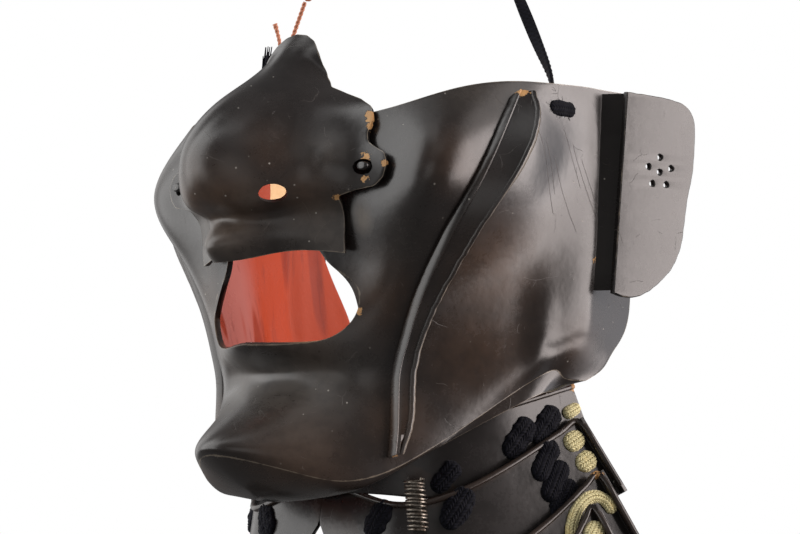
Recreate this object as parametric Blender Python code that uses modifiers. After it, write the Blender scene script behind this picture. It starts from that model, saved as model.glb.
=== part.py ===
"""Samurai face guard (menpo) with its nose piece, cord ribs, ear plates, throat lames and cords.

Metres, +Z up, +X the wearer's left, -Y the front of the face. The origin is the middle of the
hollow that takes the face. Tables are in millimetres. They hold the left half, and the right
half is its mirror image.
"""
import math

import bmesh
import bpy
import numpy as np
from mathutils import Matrix, Vector

MM = 0.001
GAP = 0.35  # between two pieces that touch

# ------------------------------------------------------------------ main shell
SHELL_WALL = 2.0
# A row for each level of the shell, from its bottom edge to its top edge. Every level passes
# through six stations: the midline, the front lobe, the cheek, the side, the haunch and the rear.
SHELL_LEVELS = {
    # name: midline, lobe, cheek,
    #       side, haunch, rear
    "edge":    ((0, -60, -82), (24, -54.5, -79.5), (38, -45, -72),
                (58, -8, -50), (59.8, 6, -45.3), (60, 18, -42)),
    "crease":  ((0, -92.5, -67.5), (22, -74, -73.5), (39.5, -46, -71),
                (59.5, -3, -42), (62.6, 9, -40), (64, 20, -41)),
    "belly":   ((0, -90, -60), (23, -73.5, -62), (40.5, -46.5, -57),
                (63.6, -1, -34), (66.8, 14, -32.5), (65.4, 27, -36.7)),
    "recess":  ((0, -67, -42), (24, -60, -43), (41, -45.4, -42),
                (66, 0, -24), (69, 18, -25.2), (66.3, 31.5, -30.7)),
    "lip":     ((0, -78, -31), (22, -66.5, -31), (44, -45, -30),
                (67.6, 0, -14), (70.6, 18, -15), (65.5, 40, -20.5)),
    "mouth":   ((0, -71, -14), (30, -60, -14), (50, -45.5, -14),
                (69.3, 0, 2), (72.6, 18, 1.4), (70, 36, -2)),
    "jowl":    ((0, -70, 6), (36, -61, 5), (61.5, -47.5, 6),
                (71.5, 0, 20), (73.3, 16, 19.8), (73.6, 29.5, 18)),
    "cheek":   ((0, -69, 26), (44.4, -62, 25), (69.3, -51.2, 27),
                (73, 0, 38), (73.6, 15, 38.2), (74.3, 27, 37.4)),
    "top":     ((0, -64, 42), (43, -57.8, 44.4), (63.6, -35.6, 53),
                (72.5, 0, 56), (74.2, 15, 55.9), (75, 26, 55.7)),
}
CREASE_LEVEL = 1
UNDERSIDE_SAG = 3.5
# A row for each dent or swelling: its middle, its reach each way, and its lift outwards.
SHELL_FOLDS = {
    "fullness under the rib": ((72, -20, 34), (30, 14, 22), 1.8),
    "valley before the jaw's ridge": ((66, -12, -18), (30, 5, 12), -0.3),
    "ridge of the jaw": ((66, -3, -26), (30, 4, 14), 0.6),
    "crease behind the ridge, low": ((67, 2.5, -31.5), (30, 4.4, 2), -0.25),
    "crease behind the ridge, middle": ((67.5, 7, -29.5), (30, 4.4, 2), -0.25),
    "crease behind the ridge, high": ((68, 11.5, -27.5), (30, 4.4, 2), -0.25),
}
# The corner of the mouth is a part of an ellipse: its middle as (x, z), and its reach each way.
MOUTH_MIDDLE = (18, -17)
MOUTH_REACH = {"out": 16, "down": 14, "up": 12}
MOUTH_TURNS = (-90, -60, -30, 0, 30, 60)  # degrees, from the lower lip round to the upper one
# The opening's edge above the mouth as (x, z), behind the nose piece and up to the top edge.
NOSE_HOLE = ((20, 4), (20, 18), (25, 31), (33, 44))
OPENING_AROUND = 36
SHELL_ACROSS = 11
JAW_SHARE = 0.6  # of the opening's length whose cross lines end on the jaw, and not on the rear edge
SLOT = {"at": (73, -2.3, 47.6), "length": 12.6, "height": 5.2}

# ------------------------------------------------------------------ nose piece
NOSE_WALL = 1.8
# Levels from the upper lip's edge to the peak, through the midline, the flank, the wing and the base.
NOSE_LEVELS = {
    # name       midline             flank              wing               base
    "lip edge": ((0, -89, -4.8),    (9, -83, -3.5),    (20, -72.5, -1),   (38, -61.8, -3)),
    "lip":      ((0, -93.5, 1.5),   (9, -86.5, 2.5),   (20, -74.5, 4.5),  (38, -62, 4)),
    "groove":   ((0, -88, 9.2),     (9, -85.5, 9),     (20, -75, 11),     (40, -62.2, 12)),
    "under":    ((0, -95, 13.5),    (14, -89, 13.5),   (26, -75, 16),     (46, -64.4, 17)),
    "tip":      ((0, -100.5, 20.5), (18.5, -89, 20.5), (29.5, -74, 22),   (51, -63.7, 21)),
    "bulb":     ((0, -101.5, 29),   (20.5, -86, 30),   (31, -71, 30),     (53, -62.9, 28)),
    "upper":    ((0, -97.5, 38),    (18.5, -84, 39),   (30, -68.5, 39),   (50, -60.8, 37)),
    "bridge":   ((0, -87, 48.5),    (15, -76, 49.5),   (26, -64, 49),     (44, -59.3, 46.5)),
    "brow":     ((0, -72.5, 57.5),  (10.5, -66, 58.5), (17, -57, 57.5),   (28, -52, 55)),
    "crest":    ((0, -62, 65.5),    (6.5, -59.5, 66),  (11, -56.5, 65.5), (20, -52, 64)),
    "peak":     ((0, -53.5, 74.6),  (4, -53.4, 74.3),  (8, -53, 73.3),    (14, -52, 71.5)),
}
NOSE_FOLDS = {
    "furrow beside the bulb": ((22.5, -77, 36), (5, 14, 10), -1.5),
    "wing bulge": ((31, -70, 27), (6, 12, 8), 2.5),
    "groove under the tip": ((8, -88, 9), (14, 9, 3), -0.5),
}
# The plate's near edge as (x, z), from the corner of the upper lip to the peak, with the lug of
# the peg and the notch above it.
NOSE_RIM = ((33, -3.5), (33.3, 4), (33.6, 12), (34.4, 15.8), (40.4, 17.6), (46.8, 18.6), (49.8, 21.5),
            (51, 26), (49.6, 29.5), (45.8, 31.5), (43, 33.5), (42, 36.5), (42.9, 41), (41.4, 45.5),
            (35.6, 48.6), (29, 51), (21.5, 54), (17, 58), (13.8, 63), (11.6, 67.5), (8.8, 71.3),
            (4.8, 73.8), (0, 74.6))
NOSE_COLUMNS = 9
NOSTRIL = {"at": (20, 16.5), "size": (9.6, 6.4)}
PEG = {"at": (43, 25), "hole": (7.0, 5.2), "stud": (4.4, 3.0), "proud": 1.6}

# ------------------------------------------------------------------ cord ribs and ear plates
RIB_WALL = 1.8
RIB_LEAN = (0.82, 0.57, 0.0)  # the way the flange stands out from the cheek
RIB_FOOT_WALL = 1.2
# The rib's root as (y, z): it sweeps down from its top to the bend, then runs straight to its foot.
RIB_TOP = (-22, 50)
RIB_BEND = (-44.5, 4)
RIB_FOOT = (-47.5, -67)
RIB_SWEEP = 1.7  # the power that the sweep follows
# Down the rib: the height, how far its flange stands out there, and its foot's width.
RIB = {
    "top":    (50, 5.5, 1.8),
    "brow":   (42, 10.0, 2.0),
    "widest": (32, 12.0, 2.0),
    "bend":   (13, 10.5, 1.8),
    "mouth":  (-12, 7.5, 1.5),
    "lip":    (-30, 5.5, 1.2),
    "jaw":    (-58, 5.0, 1.0),
    "foot":   (-67, 3.0, 1.0),
}
RIB_STEPS = 24

EAR_WALL = 1.8
EAR_FACE = 82.0  # x of the plate's outer face at the top of its front edge
EAR_TOP = 55.0
EAR_FRONT = 20.0
EAR_LEAN = 0.051  # how far the face comes in for each mm down
EAR_FLARE = 0.22  # how far the face goes out for each mm back
# The turned-in front edge, from its root on the shell to the plate: (y, z) low and high.
EAR_TURN = {"root low": (14.3, -11.5), "root high": (16.6, 54.5), "plate low": (18.4, -11.5),
            "plate high": (21.3, 54.5)}
# The ear plate's outline as (y, z), from the bottom of the front edge round the rear to its top.
EAR_OUTLINE = ((17.6, -12.6), (23.2, -13.8), (29.7, -12.6), (36.2, -8.5), (42.7, -1.5), (45.9, 8),
               (47.3, 20), (49.2, 30), (49.7, 41), (49.1, 47.5), (46.4, 51.5), (40.4, 53.6),
               (31, 54.5), (20.5, 55))
EAR_HOLES = {"middle": (35, 29), "count": 5, "ring": 5.0, "size": 1.9}

# ------------------------------------------------------------------ throat guard
LAME_WALL = 1.5
SPLIT = {"apex": -88.5, "slope": 0.67}  # the slit up the middle of the lower lames
# A row for each lame: its lower edge, its upper edge and the width of its turned-out rear edge.
LAMES = {
    # name        midline            bend               side               rear
    "throat_lame_1": (
        ((0, -46, -78.8), (28, -36.5, -80), (49, -12, -79),    (61, 24.5, -57)),
        ((0, -48, -66),   (29, -38.5, -62), (50.5, -12, -52),  (57.6, 20.5, -42.6)),
        0),
    "throat_lame_2": (
        ((0, -47, -112),  (35, -43, -113),  (57, -13, -101),   (71, 29, -79)),
        ((0, -40, -76),   (31, -39, -83),   (51, -17.5, -75),  (61, 18, -54.5)),
        2.5),
    "throat_lame_3": (
        ((0, -56, -136),  (41, -52, -138),  (66, -13, -123),   (79, 29, -98)),
        ((0, -51, -108),  (40, -47, -112),  (61.5, -13, -96.5), (69.5, 18.2, -72.3)),
        2.5),
    "throat_lame_4": (
        ((0, -64, -154),  (46, -59, -157),  (73, -14, -141),   (84, 22, -114)),
        ((0, -58, -131),  (44, -54, -134),  (68, -16, -114),   (73.5, 10.5, -83.5)),
        2.5),
}
SPLIT_LAMES = ("throat_lame_3", "throat_lame_4")
LACING_HIGH = 2.6
LAME_BEND = 45.0  # the least radius of the lames where knots stand
# The knots of lacing stand in columns at an even pitch from the rear edge, as shares of the half
# lame's length, and in rows up it, as shares of its height.
LACE_REAR = 0.965
LACE_PITCH = 0.1
LACE_ROWS = {"upper": 0.82, "lower": 0.54}
# A row for each knot: its lame, its column and row, its length along the lame, its width, its finish.
LACING = {
    "lacing_navy_1": ("throat_lame_1", 2, "lower", 8.5, 7.0, "navy_cord"),
    "lacing_navy_2": ("throat_lame_1", 1, "lower", 8.5, 7.0, "navy_cord"),
    "lacing_navy_3": ("throat_lame_2", 1, "upper", 9.0, 6.0, "navy_cord"),
    "lacing_navy_4": ("throat_lame_2", 1, "lower", 9.0, 6.0, "navy_cord"),
    "lacing_navy_5": ("throat_lame_2", 4, "upper", 9.5, 7.0, "navy_cord"),
    "lacing_navy_6": ("throat_lame_2", 7, "upper", 7.5, 7.0, "navy_cord"),
    "lacing_pale_1": ("throat_lame_1", 0, "lower", 5.0, 4.0, "pale_cord"),
    "lacing_pale_2": ("throat_lame_2", 0, "upper", 4.4, 6.4, "pale_cord"),
    "lacing_pale_3": ("throat_lame_2", 0, "lower", 4.8, 6.4, "pale_cord"),
    "lacing_pale_4": ("throat_lame_3", 0, "upper", 7.0, 4.6, "pale_cord"),
    "lacing_pale_5": ("throat_lame_4", 0, "upper", 5.4, 7.0, "pale_cord"),
}

# The coil of wire under the left jaw that the cord is tied round.
COIL = {"at": (42.5, -41.8), "top": -74.5, "length": 17.5, "outer": 7.0, "wire": 0.9, "turns": 13}
COIL_STEPS = 8  # points in each turn

# ------------------------------------------------------------------ cords
BRAID = {"at": (73.6, -2.3, 47.6), "size": (2.6, 11.6, 4.3)}  # the plait that fills each slot
KNOT = 5.0
TIE_ROUTE = ((71.6, -2.3, 47.6), (69.4, -2.3, 48.4), (68.4, -2.1, 51.5), (67.9, -1.6, 55.5),
             (66.4, -1.2, 60.2), (62.6, -0.8, 67.5), (57.6, -0.5, 77), (52.5, -0.2, 86.8),
             (47.6, 0, 96.2))
HANG_ROUTE = ((-71.6, -1.6, 47.6), (-69.4, -1.7, 48.4), (-68.6, -1.8, 51.5), (-67.9, -2, 55.5),
              (-66, -2.2, 60.5), (-62.4, -2.3, 68.5), (-57.2, -2.2, 78.5), (-52.4, -1.9, 88.4),
              (-47.8, -1.6, 98))
TAIL_ROUTE = ((-71.6, 0.6, 47.6), (-69.3, 0.8, 48.5), (-68.3, 1.2, 51.7), (-67.2, 1.4, 56),
              (-65.4, 1.4, 64), (-63.6, 1.4, 72), (-62.8, 1.3, 79), (-63.2, 1.1, 85), (-65, 0.4, 92.3))
STUB_ROUTE = ((-71.6, -4.3, 47.6), (-69.4, -4.4, 48.4), (-68.5, -4.4, 52.5), (-68, -4.2, 60),
              (-66.6, -3.6, 70), (-64.6, -3, 83.5))
# A row for each cord: its finish, its thickness, and its route from the slot.
CORDS = {
    "tie_cord_left": ("navy_cord", 2.6, TIE_ROUTE),
    "tie_cord_right": ("orange_cord", 1.5, HANG_ROUTE),
    "orange_tail_right": ("orange_cord", 1.3, TAIL_ROUTE),
    "navy_tail_right": ("navy_cord", 2.2, STUB_ROUTE),
}
KNOTTED = {"tie_cord_left": "tie_knot_left", "tie_cord_right": "tie_knot_right"}

# ------------------------------------------------------------------ materials
FINISHES = {
    # name: colour, roughness, metallic
    "black_lacquer": ((0.020, 0.017, 0.016), 0.32, 0.0),
    "steel_wire": ((0.20, 0.18, 0.16), 0.35, 1.0),
    "navy_cord": ((0.012, 0.014, 0.035), 0.85, 0.0),
    "pale_cord": ((0.58, 0.55, 0.28), 0.85, 0.0),
    "orange_cord": ((0.55, 0.16, 0.06), 0.8, 0.0),
}


def spline_weights(knots, at):
    """Weights, one row for each place in at, that a natural cubic spline gives to the values at its knots."""
    knots, at = np.asarray(knots, float), np.asarray(at, float)
    count = len(knots)
    step = np.diff(knots)
    bend, slope = np.zeros((count, count)), np.zeros((count, count))
    bend[0, 0] = bend[-1, -1] = 1
    for i in range(1, count - 1):
        bend[i, i - 1 : i + 2] = step[i - 1], 2 * (step[i - 1] + step[i]), step[i]
        slope[i, i - 1 : i + 2] = 6 / step[i - 1], -6 / step[i - 1] - 6 / step[i], 6 / step[i]
    second = np.linalg.solve(bend, slope)
    cell = np.clip(np.searchsorted(knots, at, side="right") - 1, 0, count - 2)
    h = step[cell][:, None]
    b = ((at - knots[cell]) / step[cell])[:, None]
    a = 1 - b
    unit = np.eye(count)
    bend = (a**3 - a) * second[cell] + (b**3 - b) * second[cell + 1]
    return a * unit[cell] + b * unit[cell + 1] + h * h / 6 * bend


def through(rows, at):
    """Points at places 0 to 1 along a smooth curve through the rows."""
    rows = np.asarray(rows, float)
    legs = np.linalg.norm(np.diff(rows, axis=0), axis=1)
    return spline_weights(np.concatenate([[0], np.cumsum(legs)]) / legs.sum(), at) @ rows


class Sheet:
    """A smooth surface through a cage of levels and stations, symmetric about x = 0.

    A place on it has a turn, from 0 on the midline to 1 at the last station, and a level. Below
    the crease level it is the straight underside, which sags a little."""

    def __init__(self, levels, folds=None, crease=0):
        self.cage = np.array(list(levels), float)
        self.folds = list((folds or {}).values())
        self.crease = crease
        self.top = len(self.cage) - 1

    def smooth(self, turn, level):
        turn, level = np.broadcast_arrays(np.asarray(turn, float), np.asarray(level, float))
        shape, turn, level = turn.shape, turn.ravel(), level.ravel()
        stations = self.cage.shape[1]
        weights = spline_weights(np.linspace(-1, 1, 2 * stations - 1), turn)
        left, right = weights[:, stations - 1 :], weights[:, stations - 1 :: -1].copy()
        right[:, 0] = 0
        curves = np.einsum("ns,lsk->nlk", left, self.cage)
        curves += np.einsum("ns,lsk->nlk", right, self.cage * np.array([-1, 1, 1]))
        above = spline_weights(np.arange(self.crease, self.top + 1), np.maximum(level, self.crease))
        points = np.einsum("nl,nlk->nk", above, curves[:, self.crease :])
        if self.crease:
            share = np.clip(level / self.crease, 0, 1)[:, None]
            under = (1 - share) * curves[:, 0] + share * curves[:, self.crease]
            under[:, 2] -= UNDERSIDE_SAG * 4 * (share * (1 - share))[:, 0] * np.clip(1 - turn / 0.5, 0, 1)
            points = np.where(level[:, None] < self.crease, under, points)
        return points.reshape(*shape, 3)

    def normal(self, turn, level, step=0.004):
        turn, level = np.broadcast_arrays(np.asarray(turn, float), np.asarray(level, float))
        floor = np.where(level >= self.crease, self.crease, 0)
        low, high = np.maximum(level - 5 * step, floor), np.minimum(level + 5 * step, self.top)
        ahead, behind = np.minimum(turn + step, 1), np.maximum(turn - step, -1)
        along = self.smooth(ahead, level) - self.smooth(behind, level)
        out = np.cross(along, self.smooth(turn, high) - self.smooth(turn, low))
        return out / np.maximum(np.linalg.norm(out, axis=-1, keepdims=True), 1e-9)

    def point(self, turn, level):
        base = self.smooth(turn, level)
        if not self.folds:
            return base
        lift = np.zeros(base.shape[:-1])
        for middle, reach, height in self.folds:
            away = [(np.abs(base[..., 0]) - middle[0]) / reach[0], (base[..., 1] - middle[1]) / reach[1],
                    (base[..., 2] - middle[2]) / reach[2]]
            lift += height * np.exp(-sum(d * d for d in away))
        return base + self.normal(turn, level) * lift[..., None]

    def place(self, wanted, axes):
        """Turn and level, one row each, of the points whose two coordinates on the axes are wanted."""
        axes = list(axes)
        turns, levels = np.meshgrid(np.linspace(0, 1, 81), np.linspace(self.crease, self.top, 121))
        grid = self.point(turns, levels)[..., axes]
        found = []
        for target in np.atleast_2d(np.asarray(wanted, float)):
            nearest = np.argmin(((grid - target) ** 2).sum(-1))
            at = np.array([turns.flat[nearest], levels.flat[nearest]])
            for _ in range(10):
                here = self.point(*at)[axes]
                steps = 1e-4 * np.eye(2)
                slopes = np.stack([(self.point(*(at + d))[axes] - here) / 1e-4 for d in steps], axis=1)
                at = at - np.clip(np.linalg.lstsq(slopes, here - target, rcond=None)[0], -0.05, 0.05)
                at = np.clip(at, [0, self.crease], [1, self.top])
            found.append(at)
        return np.array(found)


shell_sheet = Sheet(SHELL_LEVELS.values(), SHELL_FOLDS, CREASE_LEVEL)
nose_sheet = Sheet(NOSE_LEVELS.values(), NOSE_FOLDS)
lame_sheets = {name: Sheet(row[:2]) for name, row in LAMES.items()}


def opening_outline():
    """The opening's edge as (x, z), from the middle of the lower lip to the top edge."""
    angles = np.radians(MOUTH_TURNS)
    rise = np.where(angles > 0, MOUTH_REACH["up"], MOUTH_REACH["down"])
    corner = np.column_stack([MOUTH_MIDDLE[0] + MOUTH_REACH["out"] * np.cos(angles),
                              MOUTH_MIDDLE[1] + rise * np.sin(angles)])
    return np.vstack([(0, corner[0, 1]), corner, NOSE_HOLE])


def rib_line(steps):
    """Rows of y, z, flange and foot's width down the rib's root."""
    rows = through(np.array(list(RIB.values()), float), np.linspace(0, 1, steps + 1))
    z = rows[:, 0]
    sweep = np.clip((z - RIB_BEND[1]) / (RIB_TOP[1] - RIB_BEND[1]), 0, 1) ** RIB_SWEEP
    fall = np.clip((RIB_BEND[1] - z) / (RIB_BEND[1] - RIB_FOOT[1]), 0, 1)
    y = RIB_BEND[0] + (RIB_TOP[0] - RIB_BEND[0]) * sweep + (RIB_FOOT[0] - RIB_BEND[0]) * fall
    return np.column_stack([y, rows])


def lace_place(column, row):
    """Turn and level of a knot of lacing on its lame."""
    return LACE_REAR - LACE_PITCH * column, LACE_ROWS[row]


def shell_opening(at):
    """Turn and level of the opening's edge at places 0 to 1 along it."""
    ends = shell_sheet.place(opening_outline(), (0, 2))
    ends[0, 0] = 0
    ends[-1, 1] = shell_sheet.top
    scaled = ends * np.array([6, 1])  # so that both run about as far
    return through(scaled, at) / np.array([6, 1])


def shell_outer(at):
    """Turn and level of the crease line and the rear edge at places 0 to 1."""
    jaw = np.minimum(at / JAW_SHARE, 1)
    rear = np.clip((at - JAW_SHARE) / (1 - JAW_SHARE), 0, 1)
    return np.stack([jaw, CREASE_LEVEL + (shell_sheet.top - CREASE_LEVEL) * rear], axis=1)


def shell_grid(around, across):
    """(turn, level) of the half shell: fan lines from the opening to the crease and rear edge."""
    at = np.linspace(0, 1, around + 1)
    inner, outer = shell_opening(at), shell_outer(at)
    share = np.linspace(0, 1, across + 1)[:, None, None]
    return inner * (1 - share) + outer * share


def nose_grid(rim_places, columns):
    """(turn, level) of the half nose piece: a row from the midline out to each place on the rim."""
    middle = np.linspace(0, nose_sheet.top, len(rim_places))
    share = np.linspace(0, 1, columns + 1)[:, None]
    turn = rim_places[:, 0] * share
    level = middle + (rim_places[:, 1] - middle) * share**1.5
    return np.stack([turn, level], axis=-1)


def split_turn(sheet, level):
    """The turn at which a lame begins at a level, beside the slit."""
    turns = np.linspace(0, 1, 200)
    points = sheet.point(turns, level)
    clear = points[:, 0] >= SPLIT["slope"] * np.maximum(SPLIT["apex"] - points[:, 2], 0)
    return turns[np.argmax(clear)]


def lame_grid(name, along, up):
    """Points of the left half of a lame, with its rear edge turned outwards."""
    sheet, flange = lame_sheets[name], LAMES[name][2]
    rows = []
    for level in np.linspace(0, 1, up + 1):
        begin = split_turn(sheet, level)
        points = sheet.point(begin + (1 - begin) * np.linspace(0, 1, along + 1), level)
        if begin == 0 and name not in SPLIT_LAMES:
            points[0, 0] = 0
        if flange:
            back = points[-1] - points[-2]
            turned = 0.2 * back / np.linalg.norm(back) + 0.98 * sheet.normal(1.0, level)
            points = np.vstack([points, points[-1] + turned * flange / 2, points[-1] + turned * flange])
        rows.append(points)
    return np.array(rows)


# ------------------------------------------------------------------ making objects
def grid_mesh(name, grids, merge=0.02):
    """A mesh of one or more grids of points in mm, joined where they meet, with faces outwards."""
    mesh = bpy.data.meshes.new(name)
    bm = bmesh.new()
    for grid in grids:
        verts = [[bm.verts.new(point * MM) for point in row] for row in grid]
        for low, high in zip(verts, verts[1:]):
            for i in range(len(low) - 1):
                bm.faces.new((low[i], low[i + 1], high[i + 1], high[i]))
    bmesh.ops.remove_doubles(bm, verts=bm.verts, dist=merge * MM)
    bm.to_mesh(mesh)
    bm.free()
    return mesh


def add(name, mesh, finish):
    obj = bpy.data.objects.new(name, mesh)
    parts.objects.link(obj)
    material = bpy.data.materials.new(name)
    material.use_nodes = True
    colour, roughness, metallic = FINISHES[finish]
    shader = material.node_tree.nodes["Principled BSDF"]
    shader.inputs["Base Color"].default_value = (*colour, 1)
    shader.inputs["Roughness"].default_value = roughness
    shader.inputs["Metallic"].default_value = metallic
    obj.data.materials.append(material)
    return obj


def add_wall(name, mesh, wall, whole=True):
    """A lacquered wall: the outer face thickened inwards, mirrored where the piece is whole."""
    obj = add(name, mesh, "black_lacquer")
    if whole:
        mirror = obj.modifiers.new("mirror", "MIRROR")
        mirror.merge_threshold = 0.00005
    solid = obj.modifiers.new("wall", "SOLIDIFY")
    solid.thickness = wall * MM
    solid.offset = -1
    obj.data.shade_smooth()
    return obj


def turned_to(middle, axis, across):
    """The matrix that puts z on axis and x near across, at middle in mm."""
    axis, across = Vector(axis).normalized(), Vector(across)
    across = (across - axis * across.dot(axis)).normalized()
    turn = Matrix((across, axis.cross(across), axis)).transposed()
    return Matrix.Translation(Vector(middle) * MM) @ turn.to_4x4()


def oval_prism(name, middle, axis, across, sizes, depth, sides=16):
    """A prism with an oval section, sizes wide along across and the other way, centred on its middle."""
    place = turned_to(middle, axis, across) @ Matrix.Diagonal((sizes[0] * MM, sizes[1] * MM, depth * MM, 1))
    bm = bmesh.new()
    bmesh.ops.create_cone(bm, cap_ends=True, segments=sides, radius1=0.5, radius2=0.5, depth=1, matrix=place)
    mesh = bpy.data.meshes.new(name)
    bm.to_mesh(mesh)
    bm.free()
    return mesh


def mirrored(points):
    return np.asarray(points) * np.array([-1, 1, 1])


def both_sides(points):
    yield "left", np.asarray(points, float)
    yield "right", mirrored(points)


def loft_mesh(name, rings):
    """A closed solid lofted through rings of points in mm, with both ends capped."""
    mesh = bpy.data.meshes.new(name)
    bm = bmesh.new()
    verts = [[bm.verts.new(point * MM) for point in ring] for ring in rings]
    bm.faces.new(verts[0])
    bm.faces.new(verts[-1][::-1])
    for low, high in zip(verts, verts[1:]):
        for i in range(len(low)):
            j = (i + 1) % len(low)
            bm.faces.new((low[j], low[i], high[i], high[j]))
    bmesh.ops.triangulate(bm, faces=bm.faces)
    bmesh.ops.recalc_face_normals(bm, faces=bm.faces)
    bm.to_mesh(mesh)
    bm.free()
    return mesh


def helper(name, mesh):
    obj = bpy.data.objects.new(name, mesh)
    cutters.objects.link(obj)
    obj.hide_render = True
    obj.display_type = "WIRE"
    return obj


def cut(obj, name, mesh):
    boolean = obj.modifiers.new(name, "BOOLEAN")
    boolean.operation = "DIFFERENCE"
    boolean.object = helper(name, mesh)


def as_mesh(curve_obj):
    """The mesh of a curve object, with its caps welded. The curve is removed."""
    bpy.context.view_layer.update()
    mesh = bpy.data.meshes.new_from_object(curve_obj.evaluated_get(bpy.context.evaluated_depsgraph_get()))
    bpy.data.objects.remove(curve_obj)
    bm = bmesh.new()
    bm.from_mesh(mesh)
    bmesh.ops.remove_doubles(bm, verts=bm.verts, dist=0.01 * MM)
    bm.to_mesh(mesh)
    bm.free()
    mesh.materials.clear()
    return mesh


def outline_plate(name, outline, wall, x, flare, lean):
    """A flat plate with an outline given as (y, z) in mm, at x where both are 0, going outwards by flare
    for each mm back and by lean for each mm up."""
    curve = bpy.data.curves.new(name, "CURVE")
    curve.dimensions = "2D"
    curve.fill_mode = "BOTH"
    curve.extrude = wall * MM / 2
    spline = curve.splines.new("POLY")
    spline.points.add(len(outline) - 1)
    for point, (y, z) in zip(spline.points, outline):
        point.co = (y * MM, z * MM, 0, 1)
    spline.use_cyclic_u = True
    obj = bpy.data.objects.new(name + "_outline", curve)
    parts.objects.link(obj)
    mesh = as_mesh(obj)
    mesh.transform(Matrix(((flare, lean, 1, x * MM), (1, 0, 0, 0), (0, 1, 0, 0), (0, 0, 0, 1))))
    return add(name, mesh, "black_lacquer")


def tube(name, points, thickness, finish):
    curve = bpy.data.curves.new(name, "CURVE")
    curve.dimensions = "3D"
    curve.bevel_depth = thickness * MM / 2
    curve.bevel_resolution = 2
    curve.use_fill_caps = True
    spline = curve.splines.new("POLY")
    spline.points.add(len(points) - 1)
    for place, point in zip(spline.points, points):
        place.co = (*(np.asarray(point) * MM), 1)
    return add(name, curve, finish)


def ball(name, middle, axis, across, sizes, finish, rings=(12, 7)):
    """A ball stretched to sizes in mm: along across, the third way, and along axis."""
    scale = Matrix.Diagonal((sizes[0] * MM, sizes[1] * MM, sizes[2] * MM, 1))
    place = turned_to(middle, axis, across) @ scale
    bm = bmesh.new()
    bmesh.ops.create_uvsphere(bm, u_segments=rings[0], v_segments=rings[1], radius=0.5, matrix=place)
    mesh = bpy.data.meshes.new(name)
    bm.to_mesh(mesh)
    bm.free()
    mesh.shade_smooth()
    return add(name, mesh, finish)


def make_shell():
    grid = shell_grid(OPENING_AROUND, SHELL_ACROSS)
    wall = shell_sheet.point(grid[..., 0], grid[..., 1])
    jaw = grid[-1][: round(OPENING_AROUND * JAW_SHARE) + 1, 0]
    under = np.array([shell_sheet.point(jaw, level) for level in (0, 0.5, 1)])
    wall[:, 0, 0] = under[:, 0, 0] = 0
    shell = add_wall("mask_shell", grid_mesh("mask_shell", [wall[::-1], under]), SHELL_WALL)
    for side, middle in both_sides(SLOT["at"]):
        name = f"slot_cutter_{side}"
        size = (SLOT["length"], SLOT["height"])
        cut(shell, name, oval_prism(name, middle, (1, 0, 0), (0, 1, 0), size, 12, 12))
    return shell


def nose_place(x, z):
    turn, level = nose_sheet.place([(x, z)], (0, 2))[0]
    return nose_sheet.point(turn, level), nose_sheet.normal(turn, level)


def make_nose():
    rim = nose_sheet.place(NOSE_RIM, (0, 2))
    rim[0, 1], rim[-1] = 0, (0, nose_sheet.top)
    grid = nose_grid(rim[:-1], NOSE_COLUMNS)
    points = nose_sheet.point(grid[..., 0], grid[..., 1]).transpose(1, 0, 2)
    points[:, 0, 0] = 0
    nose = add_wall("nose_piece", grid_mesh("nose_piece", [points]), NOSE_WALL)
    holes = {"nostril": (NOSTRIL["at"], NOSTRIL["size"]), "peg_hole": (PEG["at"], PEG["hole"])}
    for hole, (at, sizes) in holes.items():
        middle, out = nose_place(*at)
        for side, centre, axis in (("left", middle, out), ("right", mirrored(middle), mirrored(out))):
            name = f"{hole}_cutter_{side}"
            cut(nose, name, oval_prism(name, centre, axis, (-axis[1], axis[0], 0), sizes, 10))


def make_pegs():
    """The shell's two studs, which the nose piece's lugs slip over."""
    through_hole, out = nose_place(*PEG["at"])
    turn, level = shell_sheet.place([through_hole[[0, 2]]], (0, 2))[0]
    foot = shell_sheet.point(turn, level) + out * GAP
    tip = through_hole + out * PEG["proud"]
    for side, low, high in (("left", foot, tip), ("right", mirrored(foot), mirrored(tip))):
        axis = high - low
        name = f"nose_peg_{side}"
        peg = add(name, oval_prism(name, (low + high) / 2, axis, (-axis[1], axis[0], 0), PEG["stud"],
                                   np.linalg.norm(axis), 14), "black_lacquer")
        peg.data.set_sharp_from_angle(angle=math.radians(40))


def make_ribs():
    """The flanges that the cords run behind, each with a narrow foot along the cheek."""
    rows = rib_line(RIB_STEPS)
    places = shell_sheet.place(rows[:, :2], (1, 2))
    root = shell_sheet.point(places[:, 0], places[:, 1])
    normal = shell_sheet.normal(places[:, 0], places[:, 1])
    along = np.gradient(root, axis=0)
    lean = np.tile(np.array(RIB_LEAN) / np.linalg.norm(RIB_LEAN), (len(root), 1))
    face = np.cross(lean, along)
    face /= np.linalg.norm(face, axis=1, keepdims=True)
    face *= np.where(face[:, 1:2] > 0, -1, 1)
    turns, levels = places.T
    pace = shell_sheet.smooth(turns - 0.01, levels) - shell_sheet.smooth(turns, levels)
    reach = RIB_WALL + rows[:, 3]
    toe_turn = places[:, 0] - 0.01 * reach / np.linalg.norm(pace, axis=1)
    toe = shell_sheet.point(toe_turn, places[:, 1])
    toe_normal = shell_sheet.normal(toe_turn, places[:, 1])
    heel = root + GAP * normal
    crown = heel + lean * rows[:, 2:3]
    toe_low = toe + GAP * toe_normal
    toe_high = toe_low + RIB_FOOT_WALL * toe_normal
    corner = heel + RIB_WALL * face + RIB_FOOT_WALL * normal
    sections = np.stack([heel, crown, crown + RIB_WALL * face, corner, toe_high, toe_low], axis=1)
    for side, section in both_sides(sections):
        rib = add(f"cord_rib_{side}", loft_mesh(f"cord_rib_{side}", section), "black_lacquer")
        rib.data.set_sharp_from_angle(angle=math.radians(35))


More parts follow.
